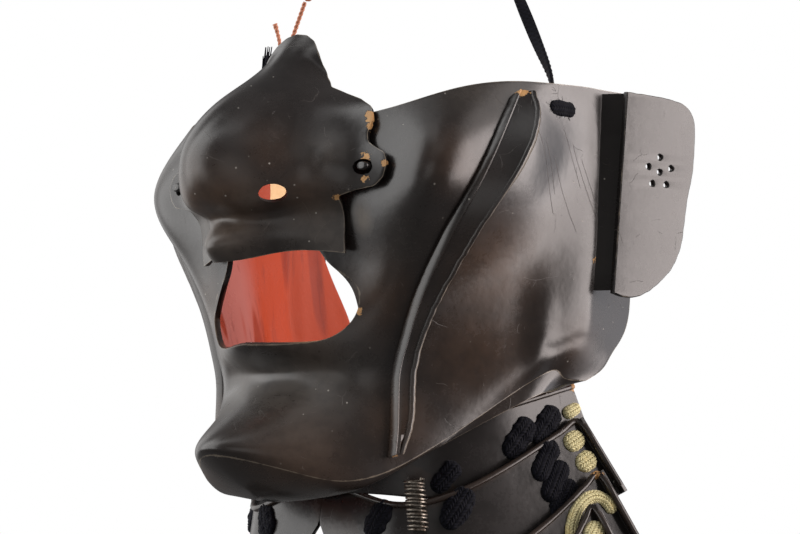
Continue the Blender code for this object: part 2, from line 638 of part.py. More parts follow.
def ear_face(y, z):
    """x of the plate's outer face at a place on it."""
    return EAR_FACE - EAR_LEAN * (EAR_TOP - z) + EAR_FLARE * (y - EAR_FRONT)


def make_ears():
    """Each ear plate: a flat plate with its front edge turned in to the shell, and holes for hearing."""
    turn = {key: np.array(value) for key, value in EAR_TURN.items()}
    heights = np.linspace(0, 1, 7)[:, None]
    at_shell = turn["root low"] * (1 - heights) + turn["root high"] * heights
    at_plate = turn["plate low"] * (1 - heights) + turn["plate high"] * heights
    places = shell_sheet.place(at_shell, (1, 2))
    turns, levels = places.T
    foot = shell_sheet.point(turns, levels) + GAP * shell_sheet.normal(turns, levels)
    edge = np.column_stack([ear_face(at_plate[:, 0], at_plate[:, 1]) - EAR_WALL / 2, at_plate])
    inwards = np.array([0, EAR_WALL, 0])
    sections = np.stack([foot, edge, edge + inwards, foot + inwards], axis=1)
    middle = ear_face(0, 0) - EAR_WALL / 2
    spokes = 2 * math.pi * np.arange(EAR_HOLES["count"]) / EAR_HOLES["count"]
    holes = [EAR_HOLES["middle"]]
    for spoke in spokes:
        holes.append((EAR_HOLES["middle"][0] + EAR_HOLES["ring"] * math.sin(spoke),
                      EAR_HOLES["middle"][1] + EAR_HOLES["ring"] * math.cos(spoke)))
    for side, section in both_sides(sections):
        sign = 1 if side == "left" else -1
        plate = outline_plate(f"ear_plate_{side}", EAR_OUTLINE, EAR_WALL, sign * middle, sign * EAR_FLARE,
                              sign * EAR_LEAN)
        joined = plate.modifiers.new("turned edge", "BOOLEAN")
        joined.operation = "UNION"
        joined.object = helper(f"turned_edge_{side}", loft_mesh(f"turned_edge_{side}", section))
        for number, (y, z) in enumerate(holes, 1):
            name = f"ear_hole_cutter_{side}_{number}"
            size = (EAR_HOLES["size"], EAR_HOLES["size"])
            middle_of_hole = (sign * ear_face(y, z), y, z)
            cut(plate, name, oval_prism(name, middle_of_hole, (1, 0, 0), (0, 1, 0), size, 10, 10))


def make_lames():
    for name in LAMES:
        grid = lame_grid(name, 12, 6)
        if name not in SPLIT_LAMES:
            add_wall(name, grid_mesh(name, [grid]), LAME_WALL)
            continue
        for side, points in both_sides(grid):
            rows = points if side == "left" else points[:, ::-1]
            full_name = f"{name}_{side}"
            add_wall(full_name, grid_mesh(full_name, [rows]), LAME_WALL, whole=False)


def make_lacing():
    """The knots of lacing that stand on the lames, on the left and on the right."""
    for name, (lame, column, row, length, width, finish) in LACING.items():
        sheet = lame_sheets[lame]
        turn, level = lace_place(column, row)
        out = sheet.normal(turn, level)
        along = sheet.point(turn + 0.01, level) - sheet.point(turn, level)
        bulge = length**2 / 8 / LAME_BEND  # how far a curved lame stands out over the knot's ends
        middle = sheet.point(turn, level) + out * (GAP + LACING_HIGH / 2 + bulge)
        sizes = (length, width, LACING_HIGH)
        ball(f"{name}_left", middle, out, along, sizes, finish, (10, 6))
        ball(f"{name}_right", mirrored(middle), mirrored(out), mirrored(along), sizes, finish, (10, 6))


def make_coil():
    radius = (COIL["outer"] - COIL["wire"]) / 2
    pitch = (COIL["length"] - COIL["wire"]) / COIL["turns"]
    points = []
    for i in range(COIL_STEPS * COIL["turns"] + 1):
        turns = i / COIL_STEPS
        angle = 2 * math.pi * turns
        x = COIL["at"][0] + radius * math.cos(angle)
        y = COIL["at"][1] + radius * math.sin(angle)
        points.append((x, y, COIL["top"] - COIL["wire"] / 2 - pitch * turns))
    tube("wire_coil", points, COIL["wire"], "steel_wire")


def make_cords():
    """The plaits in the slots, the two cords that the guard hangs by with their knots, and the tails."""
    for side, middle in both_sides(BRAID["at"]):
        ball(f"slot_braid_{side}", middle, (0, 0, 1), (1, 0, 0), BRAID["size"], "navy_cord")
    for name, (finish, thickness, route) in CORDS.items():
        length = np.linalg.norm(np.diff(np.array(route, float), axis=0), axis=1).sum()
        points = through(route, np.linspace(0, 1, round(length / (1.2 * thickness))))
        tube(name, points, thickness, finish)
        if name in KNOTTED:
            way = points[-1] - points[-2]
            middle = points[-1] + way / np.linalg.norm(way) * (GAP + KNOT / 2)
            ball(KNOTTED[name], middle, way, (0, 1, 0), (0.8 * KNOT, 0.8 * KNOT, KNOT), finish)


def main():
    make_shell()
    make_nose()
    make_pegs()
    make_ribs()
    make_ears()
    make_lames()
    make_lacing()
    make_coil()
    make_cords()


if __name__ == "__main__":
    for leftover in list(bpy.data.objects):
        bpy.data.objects.remove(leftover)
    parts = bpy.data.collections.new("face_guard")
    cutters = bpy.data.collections.new("cutters")
    bpy.context.scene.collection.children.link(parts)
    bpy.context.scene.collection.children.link(cutters)
    main()
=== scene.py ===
"""Looks of the samurai face guard: fine lacquered shells, laced throat lames, cords and a pale studio.

Metres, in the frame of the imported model. Tables are in millimetres. They hold the left half, and
the right half is its mirror image.
"""
import math

import bmesh
import bpy
import numpy as np
from mathutils import Matrix, Vector
from mathutils.kdtree import KDTree


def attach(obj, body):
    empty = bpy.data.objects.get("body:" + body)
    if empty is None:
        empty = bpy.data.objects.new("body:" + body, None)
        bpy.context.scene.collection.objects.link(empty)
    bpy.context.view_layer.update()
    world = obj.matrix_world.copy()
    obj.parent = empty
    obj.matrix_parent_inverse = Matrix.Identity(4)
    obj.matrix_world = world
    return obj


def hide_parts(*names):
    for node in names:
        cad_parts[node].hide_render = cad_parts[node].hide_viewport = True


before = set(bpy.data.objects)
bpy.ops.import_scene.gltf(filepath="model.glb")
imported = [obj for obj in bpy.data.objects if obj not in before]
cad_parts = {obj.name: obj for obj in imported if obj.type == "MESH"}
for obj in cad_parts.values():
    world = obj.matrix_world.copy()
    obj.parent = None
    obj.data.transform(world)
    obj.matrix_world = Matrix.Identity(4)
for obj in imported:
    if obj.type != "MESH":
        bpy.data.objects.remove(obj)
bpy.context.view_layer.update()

MM = 0.001
GAP = 0.35  # between two pieces that touch
BODY = "root"

# ------------------------------------------------------------------ main shell
SHELL_WALL = 2.0
# A row for each level of the shell, from its bottom edge to its top edge. Every level passes
# through six stations: the midline, the front lobe, the cheek, the side, the haunch and the rear.
SHELL_LEVELS = {
    # name: midline, lobe, cheek,
    #       side, haunch, rear
    "edge":    ((0, -60, -82), (24, -54.5, -79.5), (38, -45, -72),
                (58, -8, -50), (59.8, 6, -45.3), (60, 18, -42)),
    "crease":  ((0, -92.5, -67.5), (22, -74, -73.5), (39.5, -46, -71),
                (59.5, -3, -42), (62.6, 9, -40), (64, 20, -41)),
    "belly":   ((0, -90, -60), (23, -73.5, -62), (40.5, -46.5, -57),
                (63.6, -1, -34), (66.8, 14, -32.5), (65.4, 27, -36.7)),
    "recess":  ((0, -67, -42), (24, -60, -43), (41, -45.4, -42),
                (66, 0, -24), (69, 18, -25.2), (66.3, 31.5, -30.7)),
    "lip":     ((0, -78, -31), (22, -66.5, -31), (44, -45, -30),
                (67.6, 0, -14), (70.6, 18, -15), (65.5, 40, -20.5)),
    "mouth":   ((0, -71, -14), (30, -60, -14), (50, -45.5, -14),
                (69.3, 0, 2), (72.6, 18, 1.4), (70, 36, -2)),
    "jowl":    ((0, -70, 6), (36, -61, 5), (61.5, -47.5, 6),
                (71.5, 0, 20), (73.3, 16, 19.8), (73.6, 29.5, 18)),
    "cheek":   ((0, -69, 26), (44.4, -62, 25), (69.3, -51.2, 27),
                (73, 0, 38), (73.6, 15, 38.2), (74.3, 27, 37.4)),
    "top":     ((0, -64, 42), (43, -57.8, 44.4), (63.6, -35.6, 53),
                (72.5, 0, 56), (74.2, 15, 55.9), (75, 26, 55.7)),
}
CREASE_LEVEL = 1
UNDERSIDE_SAG = 3.5
# A row for each dent or swelling: its middle, its reach each way, and its lift outwards.
SHELL_FOLDS = {
    "fullness under the rib": ((72, -20, 34), (30, 14, 22), 1.8),
    "valley before the jaw's ridge": ((66, -12, -18), (30, 5, 12), -0.3),
    "ridge of the jaw": ((66, -3, -26), (30, 4, 14), 0.6),
    "crease behind the ridge, low": ((67, 2.5, -31.5), (30, 4.4, 2), -0.25),
    "crease behind the ridge, middle": ((67.5, 7, -29.5), (30, 4.4, 2), -0.25),
    "crease behind the ridge, high": ((68, 11.5, -27.5), (30, 4.4, 2), -0.25),
}
# The corner of the mouth is a part of an ellipse: its middle as (x, z), and its reach each way.
MOUTH_MIDDLE = (18, -17)
MOUTH_REACH = {"out": 16, "down": 14, "up": 12}
MOUTH_TURNS = (-90, -60, -30, 0, 30, 60)  # degrees, from the lower lip round to the upper one
# The opening's edge above the mouth as (x, z), behind the nose piece and up to the top edge.
NOSE_HOLE = ((20, 4), (20, 18), (25, 31), (33, 44))
JAW_SHARE = 0.6  # of the opening's length whose cross lines end on the jaw, and not on the rear edge
SLOT = {"at": (73, -2.3, 47.6), "length": 12.6, "height": 5.2}

# ------------------------------------------------------------------ nose piece
NOSE_WALL = 1.8
# Levels from the upper lip's edge to the peak, through the midline, the flank, the wing and the base.
NOSE_LEVELS = {
    # name       midline             flank              wing               base
    "lip edge": ((0, -89, -4.8),    (9, -83, -3.5),    (20, -72.5, -1),   (38, -61.8, -3)),
    "lip":      ((0, -93.5, 1.5),   (9, -86.5, 2.5),   (20, -74.5, 4.5),  (38, -62, 4)),
    "groove":   ((0, -88, 9.2),     (9, -85.5, 9),     (20, -75, 11),     (40, -62.2, 12)),
    "under":    ((0, -95, 13.5),    (14, -89, 13.5),   (26, -75, 16),     (46, -64.4, 17)),
    "tip":      ((0, -100.5, 20.5), (18.5, -89, 20.5), (29.5, -74, 22),   (51, -63.7, 21)),
    "bulb":     ((0, -101.5, 29),   (20.5, -86, 30),   (31, -71, 30),     (53, -62.9, 28)),
    "upper":    ((0, -97.5, 38),    (18.5, -84, 39),   (30, -68.5, 39),   (50, -60.8, 37)),
    "bridge":   ((0, -87, 48.5),    (15, -76, 49.5),   (26, -64, 49),     (44, -59.3, 46.5)),
    "brow":     ((0, -72.5, 57.5),  (10.5, -66, 58.5), (17, -57, 57.5),   (28, -52, 55)),
    "crest":    ((0, -62, 65.5),    (6.5, -59.5, 66),  (11, -56.5, 65.5), (20, -52, 64)),
    "peak":     ((0, -53.5, 74.6),  (4, -53.4, 74.3),  (8, -53, 73.3),    (14, -52, 71.5)),
}
NOSE_FOLDS = {
    "furrow beside the bulb": ((22.5, -77, 36), (5, 14, 10), -1.5),
    "wing bulge": ((31, -70, 27), (6, 12, 8), 2.5),
    "groove under the tip": ((8, -88, 9), (14, 9, 3), -0.5),
}
# The plate's near edge as (x, z), from the corner of the upper lip to the peak, with the lug of
# the peg and the notch above it.
NOSE_RIM = ((33, -3.5), (33.3, 4), (33.6, 12), (34.4, 15.8), (40.4, 17.6), (46.8, 18.6), (49.8, 21.5),
            (51, 26), (49.6, 29.5), (45.8, 31.5), (43, 33.5), (42, 36.5), (42.9, 41), (41.4, 45.5),
            (35.6, 48.6), (29, 51), (21.5, 54), (17, 58), (13.8, 63), (11.6, 67.5), (8.8, 71.3),
            (4.8, 73.8), (0, 74.6))
NOSTRIL = {"at": (20, 16.5), "size": (9.6, 6.4)}
PEG = {"at": (43, 25), "hole": (7.0, 5.2), "stud": (4.4, 3.0), "proud": 1.6}

# ------------------------------------------------------------------ cord ribs and ear plates
RIB_WALL = 1.8
RIB_LEAN = (0.82, 0.57, 0.0)  # the way the flange stands out from the cheek
RIB_FOOT_WALL = 1.2
# The rib's root as (y, z): it sweeps down from its top to the bend, then runs straight to its foot.
RIB_TOP = (-22, 50)
RIB_BEND = (-44.5, 4)
RIB_FOOT = (-47.5, -67)
RIB_SWEEP = 1.7  # the power that the sweep follows
# Down the rib: the height, how far its flange stands out there, and its foot's width.
RIB = {
    "top":    (50, 5.5, 1.8),
    "brow":   (42, 10.0, 2.0),
    "widest": (32, 12.0, 2.0),
    "bend":   (13, 10.5, 1.8),
    "mouth":  (-12, 7.5, 1.5),
    "lip":    (-30, 5.5, 1.2),
    "jaw":    (-58, 5.0, 1.0),
    "foot":   (-67, 3.0, 1.0),
}

EAR_WALL = 1.8
EAR_FACE = 82.0  # x of the plate's outer face at the top of its front edge
EAR_TOP = 55.0
EAR_FRONT = 20.0
EAR_LEAN = 0.051  # how far the face comes in for each mm down
EAR_FLARE = 0.22  # how far the face goes out for each mm back
# The turned-in front edge, from its root on the shell to the plate: (y, z) low and high.
EAR_TURN = {"root low": (14.3, -11.5), "root high": (16.6, 54.5), "plate low": (18.4, -11.5),
            "plate high": (21.3, 54.5)}
# The ear plate's outline as (y, z), from the bottom of the front edge round the rear to its top.
EAR_OUTLINE = ((17.6, -12.6), (23.2, -13.8), (29.7, -12.6), (36.2, -8.5), (42.7, -1.5), (45.9, 8),
               (47.3, 20), (49.2, 30), (49.7, 41), (49.1, 47.5), (46.4, 51.5), (40.4, 53.6),
               (31, 54.5), (20.5, 55))
EAR_HOLES = {"middle": (35, 29), "count": 5, "ring": 5.0, "size": 1.9}

# ------------------------------------------------------------------ throat guard
LAME_WALL = 1.5
SPLIT = {"apex": -88.5, "slope": 0.67}  # the slit up the middle of the lower lames
# A row for each lame: its lower edge, its upper edge and the width of its turned-out rear edge.
LAMES = {
    # name        midline            bend               side               rear
    "throat_lame_1": (
        ((0, -46, -78.8), (28, -36.5, -80), (49, -12, -79),    (61, 24.5, -57)),
        ((0, -48, -66),   (29, -38.5, -62), (50.5, -12, -52),  (57.6, 20.5, -42.6)),
        0),
    "throat_lame_2": (
        ((0, -47, -112),  (35, -43, -113),  (57, -13, -101),   (71, 29, -79)),
        ((0, -40, -76),   (31, -39, -83),   (51, -17.5, -75),  (61, 18, -54.5)),
        2.5),
    "throat_lame_3": (
        ((0, -56, -136),  (41, -52, -138),  (66, -13, -123),   (79, 29, -98)),
        ((0, -51, -108),  (40, -47, -112),  (61.5, -13, -96.5), (69.5, 18.2, -72.3)),
        2.5),
    "throat_lame_4": (
        ((0, -64, -154),  (46, -59, -157),  (73, -14, -141),   (84, 22, -114)),
        ((0, -58, -131),  (44, -54, -134),  (68, -16, -114),   (73.5, 10.5, -83.5)),
        2.5),
}
SPLIT_LAMES = ("throat_lame_3", "throat_lame_4")
# The knots of lacing stand in columns at an even pitch from the rear edge, as shares of the half
# lame's length, and in rows up it, as shares of its height.
LACE_REAR = 0.965
LACE_PITCH = 0.1
LACE_ROWS = {"upper": 0.82, "lower": 0.54}
# A row for each knot: its lame, its column and row, its length along the lame, its width, its finish.
LACING = {
    "lacing_navy_1": ("throat_lame_1", 2, "lower", 8.5, 7.0, "navy_cord"),
    "lacing_navy_2": ("throat_lame_1", 1, "lower", 8.5, 7.0, "navy_cord"),
    "lacing_navy_3": ("throat_lame_2", 1, "upper", 9.0, 6.0, "navy_cord"),
    "lacing_navy_4": ("throat_lame_2", 1, "lower", 9.0, 6.0, "navy_cord"),
    "lacing_navy_5": ("throat_lame_2", 4, "upper", 9.5, 7.0, "navy_cord"),
    "lacing_navy_6": ("throat_lame_2", 7, "upper", 7.5, 7.0, "navy_cord"),
    "lacing_pale_1": ("throat_lame_1", 0, "lower", 5.0, 4.0, "pale_cord"),
    "lacing_pale_2": ("throat_lame_2", 0, "upper", 4.4, 6.4, "pale_cord"),
    "lacing_pale_3": ("throat_lame_2", 0, "lower", 4.8, 6.4, "pale_cord"),
    "lacing_pale_4": ("throat_lame_3", 0, "upper", 7.0, 4.6, "pale_cord"),
    "lacing_pale_5": ("throat_lame_4", 0, "upper", 5.4, 7.0, "pale_cord"),
}

# The coil of wire under the left jaw that the cord is tied round.
COIL = {"at": (42.5, -41.8), "top": -74.5, "length": 17.5, "outer": 7.0, "wire": 0.9, "turns": 13}

# ------------------------------------------------------------------ cords
BRAID = {"at": (73.6, -2.3, 47.6), "size": (2.6, 11.6, 4.3)}  # the plait that fills each slot
KNOT = 5.0
TIE_ROUTE = ((71.6, -2.3, 47.6), (69.4, -2.3, 48.4), (68.4, -2.1, 51.5), (67.9, -1.6, 55.5),
             (66.4, -1.2, 60.2), (62.6, -0.8, 67.5), (57.6, -0.5, 77), (52.5, -0.2, 86.8),
             (47.6, 0, 96.2))
HANG_ROUTE = ((-71.6, -1.6, 47.6), (-69.4, -1.7, 48.4), (-68.6, -1.8, 51.5), (-67.9, -2, 55.5),
              (-66, -2.2, 60.5), (-62.4, -2.3, 68.5), (-57.2, -2.2, 78.5), (-52.4, -1.9, 88.4),
              (-47.8, -1.6, 98))
TAIL_ROUTE = ((-71.6, 0.6, 47.6), (-69.3, 0.8, 48.5), (-68.3, 1.2, 51.7), (-67.2, 1.4, 56),
              (-65.4, 1.4, 64), (-63.6, 1.4, 72), (-62.8, 1.3, 79), (-63.2, 1.1, 85), (-65, 0.4, 92.3))
STUB_ROUTE = ((-71.6, -4.3, 47.6), (-69.4, -4.4, 48.4), (-68.5, -4.4, 52.5), (-68, -4.2, 60),
              (-66.6, -3.6, 70), (-64.6, -3, 83.5))

# ------------------------------------------------------------------ fineness
SHELL_AROUND = 220
SHELL_ACROSS = 70
UNDERSIDE_ROWS = 14
NOSE_ROWS = 210
NOSE_COLUMNS = 60
RIB_STEPS = 130
LAME_ALONG = 100
LAME_UP = 22
COIL_STEPS = 20  # points in each turn


def spline_weights(knots, at):
    """Weights, one row for each place in at, that a natural cubic spline gives to the values at its knots."""
    knots, at = np.asarray(knots, float), np.asarray(at, float)
    count = len(knots)
    step = np.diff(knots)
    bend, slope = np.zeros((count, count)), np.zeros((count, count))
    bend[0, 0] = bend[-1, -1] = 1
    for i in range(1, count - 1):
        bend[i, i - 1 : i + 2] = step[i - 1], 2 * (step[i - 1] + step[i]), step[i]
        slope[i, i - 1 : i + 2] = 6 / step[i - 1], -6 / step[i - 1] - 6 / step[i], 6 / step[i]
    second = np.linalg.solve(bend, slope)
    cell = np.clip(np.searchsorted(knots, at, side="right") - 1, 0, count - 2)
    h = step[cell][:, None]
    b = ((at - knots[cell]) / step[cell])[:, None]
    a = 1 - b
    unit = np.eye(count)
    bend = (a**3 - a) * second[cell] + (b**3 - b) * second[cell + 1]
    return a * unit[cell] + b * unit[cell + 1] + h * h / 6 * bend


def through(rows, at):
    """Points at places 0 to 1 along a smooth curve through the rows."""
    rows = np.asarray(rows, float)
    legs = np.linalg.norm(np.diff(rows, axis=0), axis=1)
    return spline_weights(np.concatenate([[0], np.cumsum(legs)]) / legs.sum(), at) @ rows


class Sheet:
    """A smooth surface through a cage of levels and stations, symmetric about x = 0.

    A place on it has a turn, from 0 on the midline to 1 at the last station, and a level. Below
    the crease level it is the straight underside, which sags a little."""

    def __init__(self, levels, folds=None, crease=0):
        self.cage = np.array(list(levels), float)
        self.folds = list((folds or {}).values())
        self.crease = crease
        self.top = len(self.cage) - 1

    def smooth(self, turn, level):
        turn, level = np.broadcast_arrays(np.asarray(turn, float), np.asarray(level, float))
        shape, turn, level = turn.shape, turn.ravel(), level.ravel()
        stations = self.cage.shape[1]
        weights = spline_weights(np.linspace(-1, 1, 2 * stations - 1), turn)
        left, right = weights[:, stations - 1 :], weights[:, stations - 1 :: -1].copy()
        right[:, 0] = 0
        curves = np.einsum("ns,lsk->nlk", left, self.cage)
        curves += np.einsum("ns,lsk->nlk", right, self.cage * np.array([-1, 1, 1]))
        above = spline_weights(np.arange(self.crease, self.top + 1), np.maximum(level, self.crease))
        points = np.einsum("nl,nlk->nk", above, curves[:, self.crease :])
        if self.crease:
            share = np.clip(level / self.crease, 0, 1)[:, None]
            under = (1 - share) * curves[:, 0] + share * curves[:, self.crease]
            under[:, 2] -= UNDERSIDE_SAG * 4 * (share * (1 - share))[:, 0] * np.clip(1 - turn / 0.5, 0, 1)
            points = np.where(level[:, None] < self.crease, under, points)
        return points.reshape(*shape, 3)

    def normal(self, turn, level, step=0.004):
        turn, level = np.broadcast_arrays(np.asarray(turn, float), np.asarray(level, float))
        floor = np.where(level >= self.crease, self.crease, 0)
        low, high = np.maximum(level - 5 * step, floor), np.minimum(level + 5 * step, self.top)
        ahead, behind = np.minimum(turn + step, 1), np.maximum(turn - step, -1)
        along = self.smooth(ahead, level) - self.smooth(behind, level)
        out = np.cross(along, self.smooth(turn, high) - self.smooth(turn, low))
        return out / np.maximum(np.linalg.norm(out, axis=-1, keepdims=True), 1e-9)

    def point(self, turn, level):
        base = self.smooth(turn, level)
        if not self.folds:
            return base
        lift = np.zeros(base.shape[:-1])
        for middle, reach, height in self.folds:
            away = [(np.abs(base[..., 0]) - middle[0]) / reach[0], (base[..., 1] - middle[1]) / reach[1],
                    (base[..., 2] - middle[2]) / reach[2]]
            lift += height * np.exp(-sum(d * d for d in away))
        return base + self.normal(turn, level) * lift[..., None]

    def points_at(self, places):
        return self.point(places[..., 0], places[..., 1])

    def normals_at(self, places):
        return self.normal(places[..., 0], places[..., 1])

    def place(self, wanted, axes):
        """Turn and level, one row each, of the points whose two coordinates on the axes are wanted."""
        axes = list(axes)
        turns, levels = np.meshgrid(np.linspace(0, 1, 81), np.linspace(self.crease, self.top, 121))
        grid = self.point(turns, levels)[..., axes]
        found = []
        for target in np.atleast_2d(np.asarray(wanted, float)):
            nearest = np.argmin(((grid - target) ** 2).sum(-1))
            at = np.array([turns.flat[nearest], levels.flat[nearest]])
            for _ in range(10):
                here = self.point(*at)[axes]
                steps = 1e-4 * np.eye(2)
                slopes = np.stack([(self.point(*(at + d))[axes] - here) / 1e-4 for d in steps], axis=1)
                at = at - np.clip(np.linalg.lstsq(slopes, here - target, rcond=None)[0], -0.05, 0.05)
                at = np.clip(at, [0, self.crease], [1, self.top])
            found.append(at)
        return np.array(found)


shell_sheet = Sheet(SHELL_LEVELS.values(), SHELL_FOLDS, CREASE_LEVEL)
nose_sheet = Sheet(NOSE_LEVELS.values(), NOSE_FOLDS)
lame_sheets = {name: Sheet(row[:2]) for name, row in LAMES.items()}


def opening_outline():
    """The opening's edge as (x, z), from the middle of the lower lip to the top edge."""
    angles = np.radians(MOUTH_TURNS)
    rise = np.where(angles > 0, MOUTH_REACH["up"], MOUTH_REACH["down"])
    corner = np.column_stack([MOUTH_MIDDLE[0] + MOUTH_REACH["out"] * np.cos(angles),
                              MOUTH_MIDDLE[1] + rise * np.sin(angles)])
    return np.vstack([(0, corner[0, 1]), corner, NOSE_HOLE])


def rib_line(steps):
    """Rows of y, z, flange and foot's width down the rib's root."""
    rows = through(np.array(list(RIB.values()), float), np.linspace(0, 1, steps + 1))
    z = rows[:, 0]
    sweep = np.clip((z - RIB_BEND[1]) / (RIB_TOP[1] - RIB_BEND[1]), 0, 1) ** RIB_SWEEP
    fall = np.clip((RIB_BEND[1] - z) / (RIB_BEND[1] - RIB_FOOT[1]), 0, 1)
    y = RIB_BEND[0] + (RIB_TOP[0] - RIB_BEND[0]) * sweep + (RIB_FOOT[0] - RIB_BEND[0]) * fall
    return np.column_stack([y, rows])


def lace_place(column, row):
    """Turn and level of a knot of lacing on its lame."""
    return LACE_REAR - LACE_PITCH * column, LACE_ROWS[row]


def shell_opening(at):
    """Turn and level of the opening's edge at places 0 to 1 along it."""
    ends = shell_sheet.place(opening_outline(), (0, 2))
    ends[0, 0] = 0
    ends[-1, 1] = shell_sheet.top
    scaled = ends * np.array([6, 1])  # so that both run about as far
    return through(scaled, at) / np.array([6, 1])


def shell_outer(at):
    """Turn and level of the crease line and the rear edge at places 0 to 1."""
    jaw = np.minimum(at / JAW_SHARE, 1)
    rear = np.clip((at - JAW_SHARE) / (1 - JAW_SHARE), 0, 1)
    return np.stack([jaw, CREASE_LEVEL + (shell_sheet.top - CREASE_LEVEL) * rear], axis=1)


def shell_grid(around, across):
    """(turn, level) of the half shell: fan lines from the opening to the crease and rear edge."""
    at = np.linspace(0, 1, around + 1)
    inner, outer = shell_opening(at), shell_outer(at)
    share = np.linspace(0, 1, across + 1)[:, None, None]
    return inner * (1 - share) + outer * share


def nose_grid(rim_places, columns):
    """(turn, level) of the half nose piece: a row from the midline out to each place on the rim."""
    middle = np.linspace(0, nose_sheet.top, len(rim_places))
    share = np.linspace(0, 1, columns + 1)[:, None]
    turn = rim_places[:, 0] * share
    level = middle + (rim_places[:, 1] - middle) * share**1.5
    return np.stack([turn, level], axis=-1)


def split_turn(sheet, level):
    """The turn at which a lame begins at a level, beside the slit."""
    turns = np.linspace(0, 1, 200)
    points = sheet.point(turns, level)
    clear = points[:, 0] >= SPLIT["slope"] * np.maximum(SPLIT["apex"] - points[:, 2], 0)
    return turns[np.argmax(clear)]


def lame_grid(name, along, up):
    """Points of the left half of a lame, with its rear edge turned outwards."""
    sheet, flange = lame_sheets[name], LAMES[name][2]
    rows = []
    for level in np.linspace(0, 1, up + 1):
        begin = split_turn(sheet, level)
        points = sheet.point(begin + (1 - begin) * np.linspace(0, 1, along + 1), level)
        if begin == 0 and name not in SPLIT_LAMES:
            points[0, 0] = 0
        if flange:
            back = points[-1] - points[-2]
            turned = 0.2 * back / np.linalg.norm(back) + 0.98 * sheet.normal(1.0, level)
            points = np.vstack([points, points[-1] + turned * flange / 2, points[-1] + turned * flange])
        rows.append(points)
    return np.array(rows)


def turned_to(middle, axis, across):
    """The matrix that puts z on axis and x near across, at middle in mm."""
    axis, across = Vector(axis).normalized(), Vector(across)
    across = (across - axis * across.dot(axis)).normalized()
    turn = Matrix((across, axis.cross(across), axis)).transposed()
    return Matrix.Translation(Vector(middle) * MM) @ turn.to_4x4()


SIDES = (("left", 1), ("right", -1))


def mirrored(points):
    return np.asarray(points) * np.array([-1, 1, 1])


def unit(vectors):
    return vectors / np.linalg.norm(vectors, axis=-1, keepdims=True)


def round_angles(count):
    return np.linspace(0, 2 * math.pi, count, endpoint=False)


def circle(count):
    """Places on a circle with a radius of 1."""
    angles = round_angles(count)
    return np.column_stack([np.cos(angles), np.sin(angles)])


def tree_of(points):
    tree = KDTree(len(points))
    for i, point in enumerate(points):
        tree.insert(point, i)
    tree.balance()
    return tree


# ------------------------------------------------------------------ making objects
def filled(mesh, bm):
    bm.to_mesh(mesh)
    bm.free()
    return mesh


def grid_mesh(name, grids, merge=0.01):
    """A mesh of one or more grids of points in mm, joined where they meet, with faces outwards."""
    bm = bmesh.new()
    for grid in grids:
        verts = [[bm.verts.new(point * MM) for point in row] for row in grid]
        for low, high in zip(verts, verts[1:]):
            for i in range(len(low) - 1):
                bm.faces.new((low[i], low[i + 1], high[i + 1], high[i]))
    bmesh.ops.remove_doubles(bm, verts=bm.verts, dist=merge * MM)
    return filled(bpy.data.meshes.new(name), bm)


def loft(bm, rings, closed=True):
    """A lofted solid through rings of points in mm, with both ends capped."""
    verts = [[bm.verts.new(Vector(point) * MM) for point in ring] for ring in rings]
    for low, high in zip(verts, verts[1:]):
        for i in range(len(low)):
            j = (i + 1) % len(low)
            bm.faces.new((low[j], low[i], high[i], high[j]))
    if closed:
        for ring, turned in ((verts[0], False), (verts[-1], True)):
            middle = bm.verts.new(sum((v.co for v in ring), Vector()) / len(ring))
            for i in range(len(ring)):
                j = (i + 1) % len(ring)
                bm.faces.new((middle, ring[j], ring[i]) if turned else (middle, ring[i], ring[j]))


def loft_mesh(name, *solids, closed=True):
    bm = bmesh.new()
    for rings in solids:
        loft(bm, rings, closed)
    bmesh.ops.recalc_face_normals(bm, faces=bm.faces)
    return filled(bpy.data.meshes.new(name), bm)


def add(name, mesh, *materials):
    obj = bpy.data.objects.new(name, mesh)
    bpy.context.scene.collection.objects.link(obj)
    for material in materials:
        obj.data.materials.append(material)
    return obj


def bevel(obj, width, angle, segments=3):
    rounded = obj.modifiers.new("rounded edges", "BEVEL")
    rounded.width = width * MM
    rounded.segments = segments
    rounded.limit_method = "ANGLE"
    rounded.angle_limit = math.radians(angle)
    rounded.material = -1


def cut(obj, mesh):
    """Cuts a mesh out of obj, as a modifier, and returns the helper to remove afterwards."""
    helper = add("cutter", mesh, *obj.data.materials[:1])
    boolean = obj.modifiers.new("cut", "BOOLEAN")
    boolean.operation = "DIFFERENCE"
    boolean.object = helper
    return helper


def settle(obj, sharp=50):
    """Applies the modifiers, and shades smooth up to an angle."""
    bpy.context.view_layer.update()
    mesh = bpy.data.meshes.new_from_object(obj.evaluated_get(bpy.context.evaluated_depsgraph_get()))
    obj.modifiers.clear()
    obj.data = mesh
    mesh.shade_smooth()
    mesh.set_sharp_from_angle(angle=math.radians(sharp))
    return obj


def points_of(obj):
    """The object's vertices in mm."""
    flat = np.empty(len(obj.data.vertices) * 3)
    obj.data.vertices.foreach_get("co", flat)
    return flat.reshape(-1, 3) / MM


def paint(mesh, name, values):
    """Gives each vertex its value of the named attribute."""
    attribute = mesh.attributes.new(name, "FLOAT", "POINT")
    attribute.data.foreach_set("value", np.asarray(values, np.float32))


def finish_piece(obj, slot, *nodes):
    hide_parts(*nodes)
    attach(obj, BODY)
    return obj


def ripple(points, scale, seed=0):
    """Smooth unevenness from -1 to 1, the same each run, from points in mm."""
    points = np.atleast_2d(points) / scale
    total = np.zeros(len(points))
    generator = np.random.default_rng(seed)
    for _ in range(7):
        way = generator.normal(size=3)
        total += np.sin(points @ way * 2.2 + generator.uniform(0, 6.28))
    return total / 4


